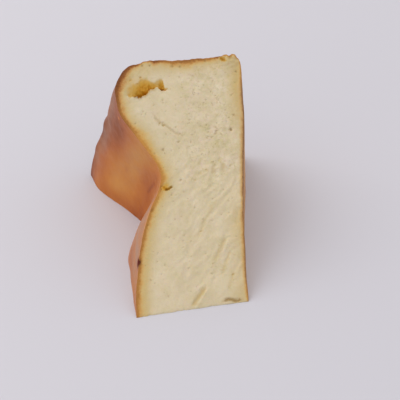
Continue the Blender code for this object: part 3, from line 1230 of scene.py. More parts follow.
    def curd(self, spots: Array) -> Array:
        """Tell where the crumb is curdled and full of specks.

        Args:
            spots: Reach and height of each place.

        Returns:
            How curdled each place is, from 0 to 1.
        """
        reach, height = spots.T
        patchy = self.curd_middle + self.curd_patches.at(spots)
        weight = smoothstep(reach, *self.curd_reach) * smoothstep(height, *self.curd_height)
        away = np.hypot(reach - self.shoulder[0], height - self.shoulder[1])
        near = self.shoulder_curd * bell(away, self.shoulder_spread)
        return np.clip(self.least_curd + weight * patchy + near, 0.0, 1.0)

    def broad(self, reach: Array, height: Array) -> Array:
        """Measure the low waves and the torn corner, which the solid has too.

        Args:
            reach: The reach of each place.
            height: The height of each place.

        Returns:
            The distance outward in millimetres, for each place.
        """
        spots = np.stack((reach, height), axis=-1)
        away = np.hypot(reach - self.shape.rim_radius, height - self.torn_height)
        torn = self.torn_lift * bell(away, self.torn_spread) * (1.0 + self.torn_rags.at(spots))
        return (torn + self.wave.at(spots)) * np.minimum(1.0, reach / self.wave_fade)

    def wandered(self, spots: Array) -> Array:
        """Shift spots a little, so that what is placed by them is irregular.

        Args:
            spots: Reach and height of each place.

        Returns:
            The shifted reach and height of each place.
        """
        moved = spots
        for along, up in self.wander:
            moved = moved + np.stack((along.at(spots), up.at(spots)), axis=1)
        return moved

    def torn(self, spots: Array) -> Array:
        """Tell where the crumb is torn rather than cut clean.

        Args:
            spots: Reach and height of each place.

        Returns:
            How torn each place is, from 0 to 1.
        """
        reach, height = spots.T
        between = smoothstep(reach, *self.torn_from) * smoothstep(reach, *self.torn_to)
        return between * smoothstep(height, *self.torn_below)

    def coarseness(self, spots: Array, torn: Array) -> Array:
        """Tell how coarse the crumb is.

        Args:
            spots: Reach and height of each place.
            torn: How torn each place is, from 0 to 1.

        Returns:
            The share of the crumb's lumps that each place gets.
        """
        reach, height = spots.T
        even = smoothstep(height, *self.even_height) * smoothstep(reach, *self.even_reach)
        grit = self.grit + (self.torn_grit + self.torn_even_grit * even) * torn
        return grit + self.curd_grit * self.curd(spots) + self.even_grit * even

    def fine(self, spots: Array, edge: Array) -> Array:
        """Measure the fine relief inside the edges of the cut face.

        Args:
            spots: Reach and height of each place.
            edge: How far each place is from the crust or the base.

        Returns:
            The distance outward in millimetres, for each place.
        """
        course = np.array(self.ridge_course)
        across = np.array((-course[1], course[0]))
        torn = self.torn(spots)
        bend = self.ridge_bend.at(spots)
        relief = np.zeros(len(spots))
        for lumps, length, width in self.ridges:
            lane = np.stack(((spots @ course) / length, (spots @ across) / width + bend), axis=1)
            relief = relief + torn * lumps.at(lane)
        coarse = self.coarseness(spots, torn)
        for lumps in self.crumb:
            relief = relief + coarse * lumps.at(spots)
        relief = relief - self.cavity.measure(spots)[0]
        wandering = self.wandered(spots)
        for tear in self.tears:
            groove, raised = tear.measure(wandering)
            relief = relief - tear.depth * groove + tear.lip * raised
        for pit in self.all_pits():
            relief = relief - pit.depth * pit.closeness(wandering)
        lip = self.lip * bell(edge - self.lip_away, self.lip_width)
        lip = lip * smoothstep(edge, 0.0, self.lip_fade)
        return relief * smoothstep(edge, 0.0, self.edge_fade) + lip

    def nose_rise(self, reach: Array) -> Array:
        """Return how the rounded tip edge fills out behind its edge."""
        return self.nose * (1.0 - np.exp(-reach / self.nose_reach))

    def stains(self, spots: Array) -> tuple[Array, Array]:
        """Tell how golden and how brown the cream is, counting as brown the painted shade of the
        cavity's deep part and of the dots under its lip.

        Args:
            spots: Reach and height of each place.

        Returns:
            The golden share, and the brown share with its painted shade, from 0 to 1.
        """
        depth, golden = self.cavity.measure(spots)
        # Painted shade: brown darkens the cavity where it is deepest
        brown = self.cavity_painted_shade * smoothstep(depth, *self.cavity_painted_shade_depth)
        spots = self.wandered(spots)
        for tear in self.tears:
            groove, _ = tear.measure(spots)
            golden = golden + tear.golden * groove ** self.tear_golden_power
            brown = brown + tear.brown * groove
        for pit in self.all_pits():
            closeness = pit.closeness(spots)
            golden = golden + pit.golden * closeness ** self.pit_golden_power
            brown = brown + pit.brown * closeness
        return np.clip(golden, 0.0, 1.0), np.clip(brown, 0.0, 1.0)

    def needs_detail(self, spots: Array, margin: float) -> Array:
        """Find the spots that need the finer mesh.

        Args:
            spots: Reach and height of each place.
            margin: How far from a tear, a pit or the cavity still counts.

        Returns:
            True for each place that needs it.
        """
        found = self.cavity.touches(spots, margin)
        for mark in (*self.tears, *self.all_pits()):
            found |= mark.touches(spots, margin)
        return found


@dataclass
class CutFace:
    """One of the two cut faces."""

    shape: CakeShape
    side: Side
    spacing: float
    # Its fine relief, where it isn't plain, and the finer mesh for that
    relief: CutRelief | None = None
    detail_spacing: float = 0.20
    detail_margin: float = 0.2
    # How far the mesh's inner points are out of true, and how far they keep from the edge, in
    # spacings
    jitter: float = 0.12
    jitter_seed: int = 5
    edge_room: float = 0.55
    tip_spacing: float = 0.42
    tip_room: float = 0.3
    # The cream is yellower beside the crust, which starts and ends this deep
    warm_depth: Range = (9.0, 1.0)
    chunk: int = 4000
    # What the triangulation is asked for: the triangles inside, and no merging beyond a length
    INSIDE: ClassVar[int] = 1
    MERGED: ClassVar[float] = 1e-6
    SHORTEST_SQUARE: ClassVar[float] = 1e-12

    def lean(self, height: Array) -> Array:
        """Return how far the tip edge leans along the cut at a height."""
        return self.shape.tip_shift(height) * math.cos(self.side.value * self.shape.wedge_angle)

    def plane(self, spots: Array) -> Array:
        """Return reach and height as lengths along and across the cut, without shear."""
        return np.stack((spots[:, 0] + self.lean(spots[:, 1]), spots[:, 1]), axis=1)

    def unplane(self, flat: Array) -> Array:
        """Return the reach and height that lengths along and across the cut stand for."""
        return np.stack((flat[:, 0] - self.lean(flat[:, 1]), flat[:, 1]), axis=1)

    def nearest(self, spots: Array, line: Array) -> tuple[Array, Array]:
        """Find the nearest point of a long line for every spot.

        Args:
            spots: Places, one to a row.
            line: The line's corners, one to a row.

        Returns:
            The distance from the line, and the number of the nearest corner.
        """
        distances, corners = [], []
        for start in range(0, len(spots), self.chunk):
            part = spots[start:start + self.chunk]
            squares = ((part[:, None, :] - line[None, :, :]) ** 2).sum(axis=2)
            corner = squares.argmin(axis=1)
            best = np.sqrt(squares.min(axis=1))
            for step in (-1, 0):
                first = np.clip(corner + step, 0, len(line) - 2)
                course = line[first + 1] - line[first]
                offset = part - line[first]
                square = np.maximum((course ** 2).sum(axis=1), self.SHORTEST_SQUARE)
                travel = np.clip((offset * course).sum(axis=1) / square, 0.0, 1.0)
                gap = np.linalg.norm(offset - travel[:, None] * course, axis=1)
                best = np.minimum(best, gap)
            distances.append(best)
            corners.append(corner)
        return np.concatenate(distances), np.concatenate(corners)

    def inside(self, flat: Array, loop: Array) -> Array:
        """Find the points inside a closed loop.

        Args:
            flat: The points, one to a row.
            loop: The loop's corners, one to a row.

        Returns:
            True for each point inside.
        """
        found = np.zeros(len(flat), dtype=bool)
        for (first_x, first_y), (next_x, next_y) in zip(loop, np.roll(loop, -1, axis=0)):
            if first_y == next_y:
                continue
            level = (flat[:, 1] >= min(first_y, next_y)) & (flat[:, 1] < max(first_y, next_y))
            crossing = first_x + (flat[:, 1] - first_y) * (next_x - first_x) / (next_y - first_y)
            found ^= level & (flat[:, 0] < crossing)
        return found

    def lattice(self, loop: Array, spacing: float) -> Array:
        """Lay a lattice of points over a loop, each a little out of true.

        Args:
            loop: The loop's corners, one to a row.
            spacing: How far apart the points are.

        Returns:
            The points, one to a row.
        """
        low, high = loop.min(axis=0), loop.max(axis=0)
        rows = np.arange(low[1], high[1], spacing * TRIANGLE_HEIGHT)
        columns = np.arange(low[0], high[0], spacing)
        across, up = np.meshgrid(columns, rows)
        across = across + 0.5 * spacing * (np.arange(len(rows)) % 2)[:, None]
        flat = np.stack((across.ravel(), up.ravel()), axis=1)
        draw = np.random.default_rng(self.jitter_seed)
        return flat + draw.uniform(-self.jitter, self.jitter, flat.shape) * spacing

    def inner_points(self, loop: Array) -> Array:
        """Spread the points inside the outline that the triangles are drawn between.

        Args:
            loop: The face's outline, laid flat.

        Returns:
            The points, one to a row.
        """
        sizes = (self.spacing, self.detail_spacing) if self.relief else (self.spacing,)
        closed = np.concatenate((loop, loop[:1]))
        kept = []
        for size in sizes:
            flat = self.lattice(loop, size)
            flat = flat[self.inside(flat, loop)]
            if self.relief:
                detailed = self.relief.needs_detail(self.unplane(flat), self.detail_margin)
                flat = flat[detailed if size == self.detail_spacing else ~detailed]
            distance, _ = self.nearest(flat, closed)
            kept.append(flat[distance > self.edge_room * size])
        return np.concatenate(kept)

    def tip_spots(self) -> Array:
        """Space out the vertices of the tip edge, between its two ends.

        Returns:
            Reach and height of each.
        """
        steps = round(self.shape.tip_height / self.tip_spacing)
        heights = np.arange(1, steps) / steps * self.shape.tip_height
        return np.stack((0.0 * heights, heights), axis=1)

    def triangles(self, loop: Array, inner: Array) -> Array:
        """Draw the triangles of the face.

        Args:
            loop: The face's outline, laid flat.
            inner: The points inside it, laid flat.

        Returns:
            Three numbers for each triangle, which count the outline's points and then the inner.

        Raises:
            RuntimeError: If the outline crosses itself.
        """
        flat = np.concatenate((loop, inner))
        corners = [Vector(spot) for spot in flat.tolist()]
        outline = [list(range(len(loop)))]
        result = delaunay_2d_cdt(corners, [], outline, self.INSIDE, self.MERGED, False)
        if len(result[0]) != len(flat):
            raise RuntimeError("the cut face's outline crosses itself")
        faces = np.array(result[2])
        return faces[self.inside(flat[faces].mean(axis=1), loop)]

    def build(self, coat: Patch, coat_grid: Array, base: Patch, base_grid: Array) -> Patch:
        """Build the cut face between the edges of the coat and the base.

        Args:
            coat: The browned coat.
            coat_grid: Reach and height of the coat's vertices, in rows and columns.
            base: The baked base.
            base_grid: Reach and height of the base's vertices, in rows and columns.

        Returns:
            The patch, whose edge vertices are those of the coat and the base.
        """
        row = -1 if self.side is Side.UPPER else 0
        coat_edge, base_edge = (
            np.arange(grid[..., 0].size).reshape(grid.shape[:2])[row]
            for grid in (coat_grid, base_grid)
        )
        base_edge = base_edge[::-1][1:]
        crusted = np.concatenate((coat_grid[row], base_grid[row][::-1][1:]))
        tip = self.tip_spots()
        loop = self.plane(np.concatenate((crusted, tip)))
        rise = tip[:, 1] / self.shape.tip_height
        loop[len(crusted):, 0] -= self.tip_room * np.sin(math.pi * rise)
        inner = self.inner_points(loop)
        spots = self.unplane(inner)
        points = self.shape.place(spots[:, 0], spots[:, 1], np.full(len(spots), self.side.value))
        outward = self.shape.outward(self.side.value)
        edge, nearest = self.nearest(inner, self.plane(crusted))
        from_edge, from_nearest = self.nearest(self.plane(tip), self.plane(crusted))
        golden, brown, curd = (np.zeros(len(spots)) for _ in range(3))
        if self.relief:
            lift = self.relief.broad(spots[:, 0], spots[:, 1])
            lift = lift + self.relief.fine(spots, edge) + self.relief.nose_rise(spots[:, 0])
            points = points + lift[:, None] * outward
            golden, brown = self.relief.stains(spots)
            curd = self.relief.curd(spots)
        tip_points = self.shape.place(tip[:, 0], tip[:, 1], np.zeros(len(tip)))
        everything = (coat.points[coat_edge], base.points[base_edge], tip_points, points)
        near = np.concatenate((np.arange(len(crusted)), from_nearest, nearest))
        traits = {}
        for name in (Trait.CRUST_TONE, Trait.CRUST_WIDTH, Trait.BASE_CRUST, Trait.WARMTH):
            values = np.concatenate((coat.trait(name)[coat_edge], base.trait(name)[base_edge]))
            traits[name] = values[near]
        depth = np.concatenate((np.zeros(len(crusted)), from_edge, edge))
        traits[Trait.WARMTH] = traits[Trait.WARMTH] * smoothstep(depth, *self.warm_depth)
        traits[Trait.CRUST_DEPTH] = depth
        clean = np.zeros(len(loop))
        for name, values in ((Trait.GOLDEN, golden), (Trait.BROWN, brown), (Trait.CURD, curd)):
            traits[name] = np.concatenate((clean, values))
        faces = self.triangles(loop, inner)
        patch = Patch(np.concatenate(everything), faces, Finish.CREAM, traits)
        return patch.faced(tuple(outward if self.side is Side.UPPER else -outward))


def linear(red: float, green: float, blue: float) -> Colour:
    """Return a colour as Blender's nodes take it.

    Args:
        red: Red as screens show it, from 0 to 255.
        green: Green as screens show it, from 0 to 255.
        blue: Blue as screens show it, from 0 to 255.

    Returns:
        The same colour in linear light, from 0 to 1.
    """
    shares = (red / 255.0, green / 255.0, blue / 255.0)
    return tuple(
        share / 12.92 if share <= 0.04045 else ((share + 0.055) / 1.055) ** 2.4
        for share in shares
    )


@dataclass(frozen=True)
class Grain:
    """Noise in a finish: the size of its lumps in millimetres, its finer layers, and its range."""

    size: float
    detail: float
    roughness: float
    # What the noise is moved from and to, where it isn't left from 0 to 1
    span: Span | None = None
    # How much longer the lumps are along each axis
    stretch: Direction = (1.0, 1.0, 1.0)


@dataclass(frozen=True)
class Bump:
    """Fine relief that shows in the shading alone, with its depth in millimetres."""

    grain: Grain
    depth: float
    strength: float


class NodeBench:
    """The nodes of one material, with its Principled shader."""

    # The colour sockets of a mix node
    BELOW, ABOVE, BLENDED = 6, 7, 2

    def __init__(self, name: str) -> None:
        """Start a new material.

        Args:
            name: The material's name.
        """
        self.material = bpy.data.materials.new(name)
        self.material.use_nodes = True
        self.tree = self.material.node_tree
        self.shader = self.tree.nodes["Principled BSDF"]
        self.place = self.tree.nodes.new("ShaderNodeTexCoord").outputs["Object"]

    def join(self, source: Feed, socket: Socket) -> None:
        """Feed a socket.

        Args:
            source: Another socket, a number or a colour.
            socket: The socket that is fed.
        """
        if isinstance(source, Socket):
            self.tree.links.new(source, socket)
        elif isinstance(source, tuple) and socket.type == "RGBA":
            socket.default_value = (*source, 1.0)
        else:
            socket.default_value = source

    def trait(self, name: Trait) -> Socket:
        """Read what the mesh's vertices tell.

        Args:
            name: Which of their numbers.

        Returns:
            The number's socket.
        """
        node = self.tree.nodes.new("ShaderNodeAttribute")
        node.attribute_name = name.value
        return node.outputs["Fac"]

    def grain(self, grain: Grain) -> Socket:
        """Make noise.

        Args:
            grain: The noise's sizes.

        Returns:
            The socket of the noise.
        """
        node = self.tree.nodes.new("ShaderNodeTexNoise")
        node.inputs["Detail"].default_value = grain.detail
        node.inputs["Roughness"].default_value = grain.roughness
        node.inputs["Scale"].default_value = 1.0
        mapping = self.tree.nodes.new("ShaderNodeMapping")
        lumps = [1.0 / (grain.size * METRES * along) for along in grain.stretch]
        mapping.inputs["Scale"].default_value = lumps
        self.join(self.place, mapping.inputs["Vector"])
        self.join(mapping.outputs["Vector"], node.inputs["Vector"])
        level = node.outputs["Fac"]
        return self.span(level, *grain.span) if grain.span else level

    def sum(self, kind: Sum, first: Feed, second: Feed) -> Socket:
        """Do a sum on two numbers.

        Args:
            kind: Which sum.
            first: The first number.
            second: The second number.

        Returns:
            The socket of the result.
        """
        node = self.tree.nodes.new("ShaderNodeMath")
        node.operation = kind.value
        self.join(first, node.inputs[0])
        self.join(second, node.inputs[1])
        return node.outputs[0]

    def add(self, *numbers: Feed) -> Socket:
        """Return the total of several numbers."""
        return reduce(lambda first, second: self.sum(Sum.PLUS, first, second), numbers)

    def times(self, first: Feed, second: Feed) -> Socket:
        """Return the product of two numbers."""
        return self.sum(Sum.TIMES, first, second)

    def span(
        self, value: Feed, low: float, high: float, start: float = 0.0, end: float = 1.0
    ) -> Socket:
        """Move a number smoothly from one range to another.

        Args:
            value: The number.
            low: The lower end of its range.
            high: The upper end of its range.
            start: What the lower end becomes.
            end: What the upper end becomes.

        Returns:
            The socket of the result.
        """
        node = self.tree.nodes.new("ShaderNodeMapRange")
        node.interpolation_type = "SMOOTHSTEP"
        self.join(value, node.inputs["Value"])
        names = ("From Min", "From Max", "To Min", "To Max")
        for name, number in zip(names, (low, high, start, end)):
            node.inputs[name].default_value = number
        return node.outputs["Result"]

    def ramp(self, value: Feed, stops: Stops) -> Socket:
        """Pick a colour from a run of colours.

        Args:
            value: Where in the run to pick it, from 0 to 1.
            stops: The run of colours.

        Returns:
            The socket of the colour.
        """
        node = self.tree.nodes.new("ShaderNodeValToRGB")
        elements = node.color_ramp.elements
        while len(elements) < len(stops):
            elements.new(0.5)
        for element, (position, colour) in zip(elements, stops):
            element.position = position
            element.color = (*colour, 1.0)
        self.join(value, node.inputs["Fac"])
        return node.outputs["Color"]

    def blend(self, share: Feed, below: Feed, above: Feed) -> Socket:
        """Lay one colour over another.

        Args:
            share: How much of the upper colour shows.
            below: The colour below.
            above: The colour above.

        Returns:
            The socket of the blended colour.
        """
        node = self.tree.nodes.new("ShaderNodeMix")
        node.data_type = "RGBA"
        node.clamp_factor = True
        self.join(share, node.inputs["Factor"])
        self.join(below, node.inputs[self.BELOW])
        self.join(above, node.inputs[self.ABOVE])
        return node.outputs[self.BLENDED]

    def bump(self, bumps: tuple[Bump, ...]) -> None:
        """Let fine relief show in the shading.

        Args:
            bumps: The layers of relief, each on top of the one before.
        """
        socket = self.shader.inputs["Normal"]
        for bump in bumps:
            node = self.tree.nodes.new("ShaderNodeBump")
            node.inputs["Strength"].default_value = bump.strength
            node.inputs["Distance"].default_value = bump.depth * METRES
            self.join(self.grain(bump.grain), node.inputs["Height"])
            if socket.links:
                self.join(socket.links[0].from_socket, node.inputs["Normal"])
            self.join(node.outputs["Normal"], socket)

    def set(self, **values: Feed) -> None:
        """Set the shader's own sockets, with _ for a space in their names."""
        for name, value in values.items():
            self.join(value, self.shader.inputs[name.replace("_", " ")])


@dataclass(frozen=True)
class CreamFinish:
    """Dense baked cream cheese, cut with a knife, with the browned crust at its edges."""

    # From dull to light cream
    tones: Stops = (
        (0.30, linear(206, 191, 152)),
        (0.50, linear(218, 202, 169)),
        (0.72, linear(228, 213, 186)),
    )
    mottle: Grain = Grain(7.0, 4.0, 0.62)
    mottle_middle: float = 0.5
    # Olive and rosy patches: how strong they are, and the noise they follow
    patches: tuple[tuple[float, Grain], ...] = (
        (0.5, Grain(5.0, 3.0, 0.55)),
        (0.6, Grain(1.9, 3.0, 0.55)),
    )
    # Between which levels of the noise each tint comes in
    tints: tuple[tuple[Range, Colour], ...] = (
        ((0.48, 0.30), linear(207, 193, 149)),
        ((0.52, 0.70), linear(221, 201, 178)),
    )
    # How much of the patches shows where the crumb is even, and where it is curdled
    evenness: Span = (0.10, 0.90, 0.5, 1.1)
    speck: Colour = linear(178, 158, 113)
    specks: Grain = Grain(1.7, 5.0, 0.75, (0.52, 0.70, 0.0, 1.0))
    speck_curd: Span = (0.0, 1.0, 0.15, 0.68)
    warm: Colour = linear(204, 178, 120)
    warming: float = 0.75
    # From barely stained to the bottom of the hollow
    golden: Stops = (
        (0.10, linear(196, 176, 120)),
        (0.28, linear(204, 168, 98)),
        (0.50, linear(208, 164, 74)),
        (0.75, linear(208, 156, 50)),
        (1.0, linear(206, 146, 34)),
    )
    # From browned to burnt; the same run also lays the painted shade in the cavity's deep part and
    # under its lip
    brown: Stops = (
        (0.60, linear(112, 70, 18)),
        (1.0, linear(94, 34, 7)),
    )
    # The crust from its outer side inwards: depth in crust widths, colour
    golden_crust: Stops = (
        (0.0, linear(202, 142, 66)),
        (1.2, linear(204, 150, 72)),
        (1.7, linear(208, 160, 84)),
        (2.3, linear(212, 170, 98)),
        (3.0, linear(213, 178, 112)),
        (4.3, linear(211, 184, 126)),
    )
    dark_crust: Stops = (
        (0.0, linear(120, 66, 22)),
        (1.0, linear(138, 79, 28)),
        (1.5, linear(164, 104, 46)),
        (2.0, linear(190, 136, 74)),
        (3.0, linear(204, 166, 106)),
        (4.3, linear(208, 180, 124)),
    )
    base_crust: Stops = (
        (0.0, linear(134, 97, 62)),
        (0.9, linear(147, 109, 69)),
        (1.8, linear(182, 142, 90)),
        (2.6, linear(202, 164, 108)),
        (3.6, linear(208, 176, 122)),
        (5.0, linear(210, 184, 136)),
    )
    # In crust widths: how deep the runs go, where they fade, and how ragged they are
    crust_reach: float = 7.0
    crust_fade: Range = (6.5, 2.6)
    rags: tuple[Grain, ...] = (
        Grain(2.6, 3.0, 0.5, (0.25, 0.75, -0.5, 0.5)),
        Grain(0.8, 2.0, 0.5, (0.30, 0.70, -0.20, 0.20)),
    )
    rag_depth: Range = (0.0, 1.5)
    thinnest: float = 0.05
    char: Colour = linear(92, 50, 20)
    charring: Grain = Grain(0.9, 2.0, 0.6, (0.54, 0.66, 0.0, 0.55))
    char_depth: Range = (2.2, 0.8)
    # The stains come in with how golden they are, and only past the crust
    stain_rise: Range = (0.0, 0.4)
    stain_depth: Range = (0.9, 2.0)
    roughness: float = 0.58
    specular: float = 0.30
    softness: float = 0.18
    softness_reach: float = 1.0
    softness_colour: Colour = (1.0, 0.62, 0.30)
    bumps: tuple[Bump, ...] = (
        Bump(Grain(0.6, 4.0, 0.65), 0.16, 0.75),
        Bump(Grain(2.2, 3.0, 0.6), 0.26, 0.6),
    )

    def creamy(self, bench: NodeBench) -> Socket:
        """Mix the colour of the cream.

        Args:
            bench: The material's nodes.

        Returns:
            The socket of the colour.
        """
        curd = bench.trait(Trait.CURD)
        uneven = bench.span(curd, *self.evenness)
        mottle = bench.add(bench.grain(self.mottle), -self.mottle_middle)
        mottle = bench.add(bench.times(mottle, uneven), self.mottle_middle)
        cream = bench.ramp(mottle, self.tones)
        for share, grain in self.patches:
            patchy = bench.grain(grain)
            for levels, tint in self.tints:
                shown = bench.times(bench.span(patchy, *levels, 0.0, share), uneven)
                cream = bench.blend(shown, cream, tint)
        speckled = bench.times(bench.grain(self.specks), bench.span(curd, *self.speck_curd))
        cream = bench.blend(speckled, cream, self.speck)
        return bench.blend(bench.times(bench.trait(Trait.WARMTH), self.warming), cream, self.warm)

    def crusted(self, bench: NodeBench, cream: Feed) -> Socket:
        """Lay the browned crust and the golden stains over the cream.

        Args:
            bench: The material's nodes.
            cream: The colour of the cream.

        Returns:
            The socket of the colour with its crust and stains.
        """
        width = bench.sum(Sum.LARGER, bench.trait(Trait.CRUST_WIDTH), self.thinnest)
        depth = bench.sum(Sum.OVER, bench.trait(Trait.CRUST_DEPTH), width)
        ragged = bench.add(*(bench.grain(rags) for rags in self.rags))
        depth = bench.add(depth, bench.times(ragged, bench.span(depth, *self.rag_depth)))
        place = bench.sum(Sum.OVER, depth, self.crust_reach)
        golden, dark, base = (
            bench.ramp(place, tuple((stop / self.crust_reach, colour) for stop, colour in stops))
            for stops in (self.golden_crust, self.dark_crust, self.base_crust)
        )
        dark = bench.blend(bench.trait(Trait.BASE_CRUST), dark, base)
        charred = bench.times(bench.grain(self.charring), bench.span(depth, *self.char_depth))
        dark = bench.blend(charred, dark, self.char)
        crust = bench.blend(bench.trait(Trait.CRUST_TONE), golden, dark)
        colour = bench.blend(bench.span(depth, *self.crust_fade), cream, crust)
        stain = bench.trait(Trait.GOLDEN)
        stained = bench.span(stain, *self.stain_rise)
        stained = bench.times(stained, bench.span(depth, *self.stain_depth))
        return bench.blend(stained, colour, bench.ramp(stain, self.golden))

    def make(self) -> bpy.types.Material:
        """Make the material.

        Returns:
            The material.
        """
        bench = NodeBench("cut_cream")
        colour = self.crusted(bench, self.creamy(bench))
        brown = bench.trait(Trait.BROWN)
        bench.set(
            Base_Color=bench.blend(brown, colour, bench.ramp(brown, self.brown)),
            Roughness=self.roughness,
            Specular_IOR_Level=self.specular,
            Subsurface_Weight=self.softness,
            Subsurface_Radius=self.softness_colour,
            Subsurface_Scale=self.softness_reach * METRES,
        )
        bench.bump(self.bumps)
        return bench.material


@dataclass(frozen=True)
class SkinFinish:
    """The smooth, satin skin that browned in the oven, with a painted sheen mixed into its colour."""

    stops: Stops = (
        (0.10, linear(220, 168, 90)),
        (0.30, linear(210, 142, 65)),
        (0.45, linear(198, 120, 51)),
        (0.60, linear(178, 97, 42)),
        (0.78, linear(130, 64, 29)),
        (0.95, linear(92, 10, 1)),
    )
    rim_stops: Stops = (
        (0.30, linear(214, 160, 98)),
        (0.50, linear(190, 130, 74)),
        (0.66, linear(160, 102, 56)),
        (0.80, linear(126, 76, 42)),
        (0.95, linear(88, 50, 28)),
    )
    clouds: Grain = Grain(14.0, 3.0, 0.5, (0.25, 0.75, -0.05, 0.05))
    freckles: Grain = Grain(1.6, 3.0, 0.6, (0.45, 0.75, 0.0, 0.07))
    # How much of the freckles shows on the skin, and on the rim
    freckle_rim: Span = (0.0, 1.0, 0.4, 0.7)
    rim_streaks: Grain = Grain(4.6, 3.0, 0.55, (0.3, 0.7, -0.045, 0.045), (4.0, 1.0, 1.0))
    # Painted sheen: the greyish pink that the pale surroundings' reflection at grazing angles gives
    # the skin
    blush: Colour = linear(177, 138, 114)
    # The painted sheen's streaks, and how much of it shows where it is thinnest and thickest
    painted_sheen_streaks: Grain = Grain(4.0, 4.0, 0.6, (0.28, 0.72, 0.55, 1.4), (1.5, 4.0, 1.0))
    roughness: float = 0.48
    rough_patches: Grain = Grain(3.0, 3.0, 0.6, (0.3, 0.7, -0.05, 0.06))
    rim_roughness: float = 0.14
    # How much rougher the skin is where it is burnt
    burnt_roughness: Span = (0.80, 1.05, 0.0, 0.4)
    specular: float = 0.22
    softness: float = 0.08
    softness_reach: float = 1.0
    softness_colour: Colour = (1.0, 0.5, 0.25)
    bumps: tuple[Bump, ...] = (
        Bump(Grain(4.5, 2.0, 0.4), 0.10, 0.5),
        Bump(Grain(0.7, 3.0, 0.6), 0.02, 0.6),
    )

    def make(self) -> bpy.types.Material:
        """Make the material.

        Returns:
            The material.
        """
        bench = NodeBench("browned_skin")
        browning, rim = bench.trait(Trait.BROWNING), bench.trait(Trait.RIM)
        freckled = bench.times(bench.grain(self.freckles), bench.span(rim, *self.freckle_rim))
        tone = bench.add(browning, bench.grain(self.clouds), freckled)
        rim_colour = bench.ramp(bench.add(tone, bench.grain(self.rim_streaks)), self.rim_stops)
        colour = bench.blend(rim, bench.ramp(tone, self.stops), rim_colour)
        # Painted sheen: the pale surroundings' reflection, mixed into the skin's colour
        painted_sheen_share = bench.times(bench.trait(Trait.PAINTED_SHEEN), bench.grain(self.painted_sheen_streaks))
        rim_rough = bench.times(rim, self.rim_roughness)
        burnt_rough = bench.span(browning, *self.burnt_roughness)
        rough = bench.add(bench.grain(self.rough_patches), self.roughness, rim_rough, burnt_rough)
        bench.set(
            Base_Color=bench.blend(painted_sheen_share, colour, self.blush),
            Roughness=rough,
            Specular_IOR_Level=self.specular,
            Subsurface_Weight=self.softness,
            Subsurface_Radius=self.softness_colour,
            Subsurface_Scale=self.softness_reach * METRES,
        )
        bench.bump(self.bumps)
        return bench.material


@dataclass(frozen=True)
class BaseFinish:
    """The baked base, browned in patches and faintly wrinkled."""

    stops: Stops = (
        (0.10, linear(222, 184, 126)),
        (0.40, linear(208, 158, 100)),
        (0.62, linear(188, 132, 80)),
        (0.85, linear(148, 96, 56)),
    )
    tones: tuple[Grain, ...] = (
        Grain(20.0, 5.0, 0.6, (0.3, 0.7, -0.09, 0.09)),
        Grain(1.2, 3.0, 0.6, (0.4, 0.8, -0.03, 0.10)),
    )
    roughness: float = 0.62
    bumps: tuple[Bump, ...] = (
        Bump(Grain(2.0, 4.0, 0.6), 0.25, 0.6),
        Bump(Grain(0.5, 3.0, 0.6), 0.08, 0.6),
    )

    def make(self) -> bpy.types.Material:
        """Make the material.

        Returns:
            The material.
        """
        bench = NodeBench("baked_base")
        browning = bench.trait(Trait.BROWNING)
        tone = bench.add(browning, *(bench.grain(grain) for grain in self.tones))
        bench.set(Base_Color=bench.ramp(tone, self.stops), Roughness=self.roughness)
        bench.bump(self.bumps)
        return bench.material


@dataclass(frozen=True)
class FloorFinish:
    """The plain pale floor."""

    pale: Colour = linear(206, 204, 213)
    shade: Colour = linear(196, 194, 204)
    shading: Grain = Grain(400.0, 2.0, 0.5, (0.2, 0.8, 0.0, 0.04))
    roughness: float = 0.55

    def make(self) -> bpy.types.Material:
        """Make the material.

        Returns:
            The material.
        """
        bench = NodeBench("pale_floor")
        colour = bench.blend(bench.grain(self.shading), self.pale, self.shade)
        bench.set(Base_Color=colour, Roughness=self.roughness)
        return bench.material


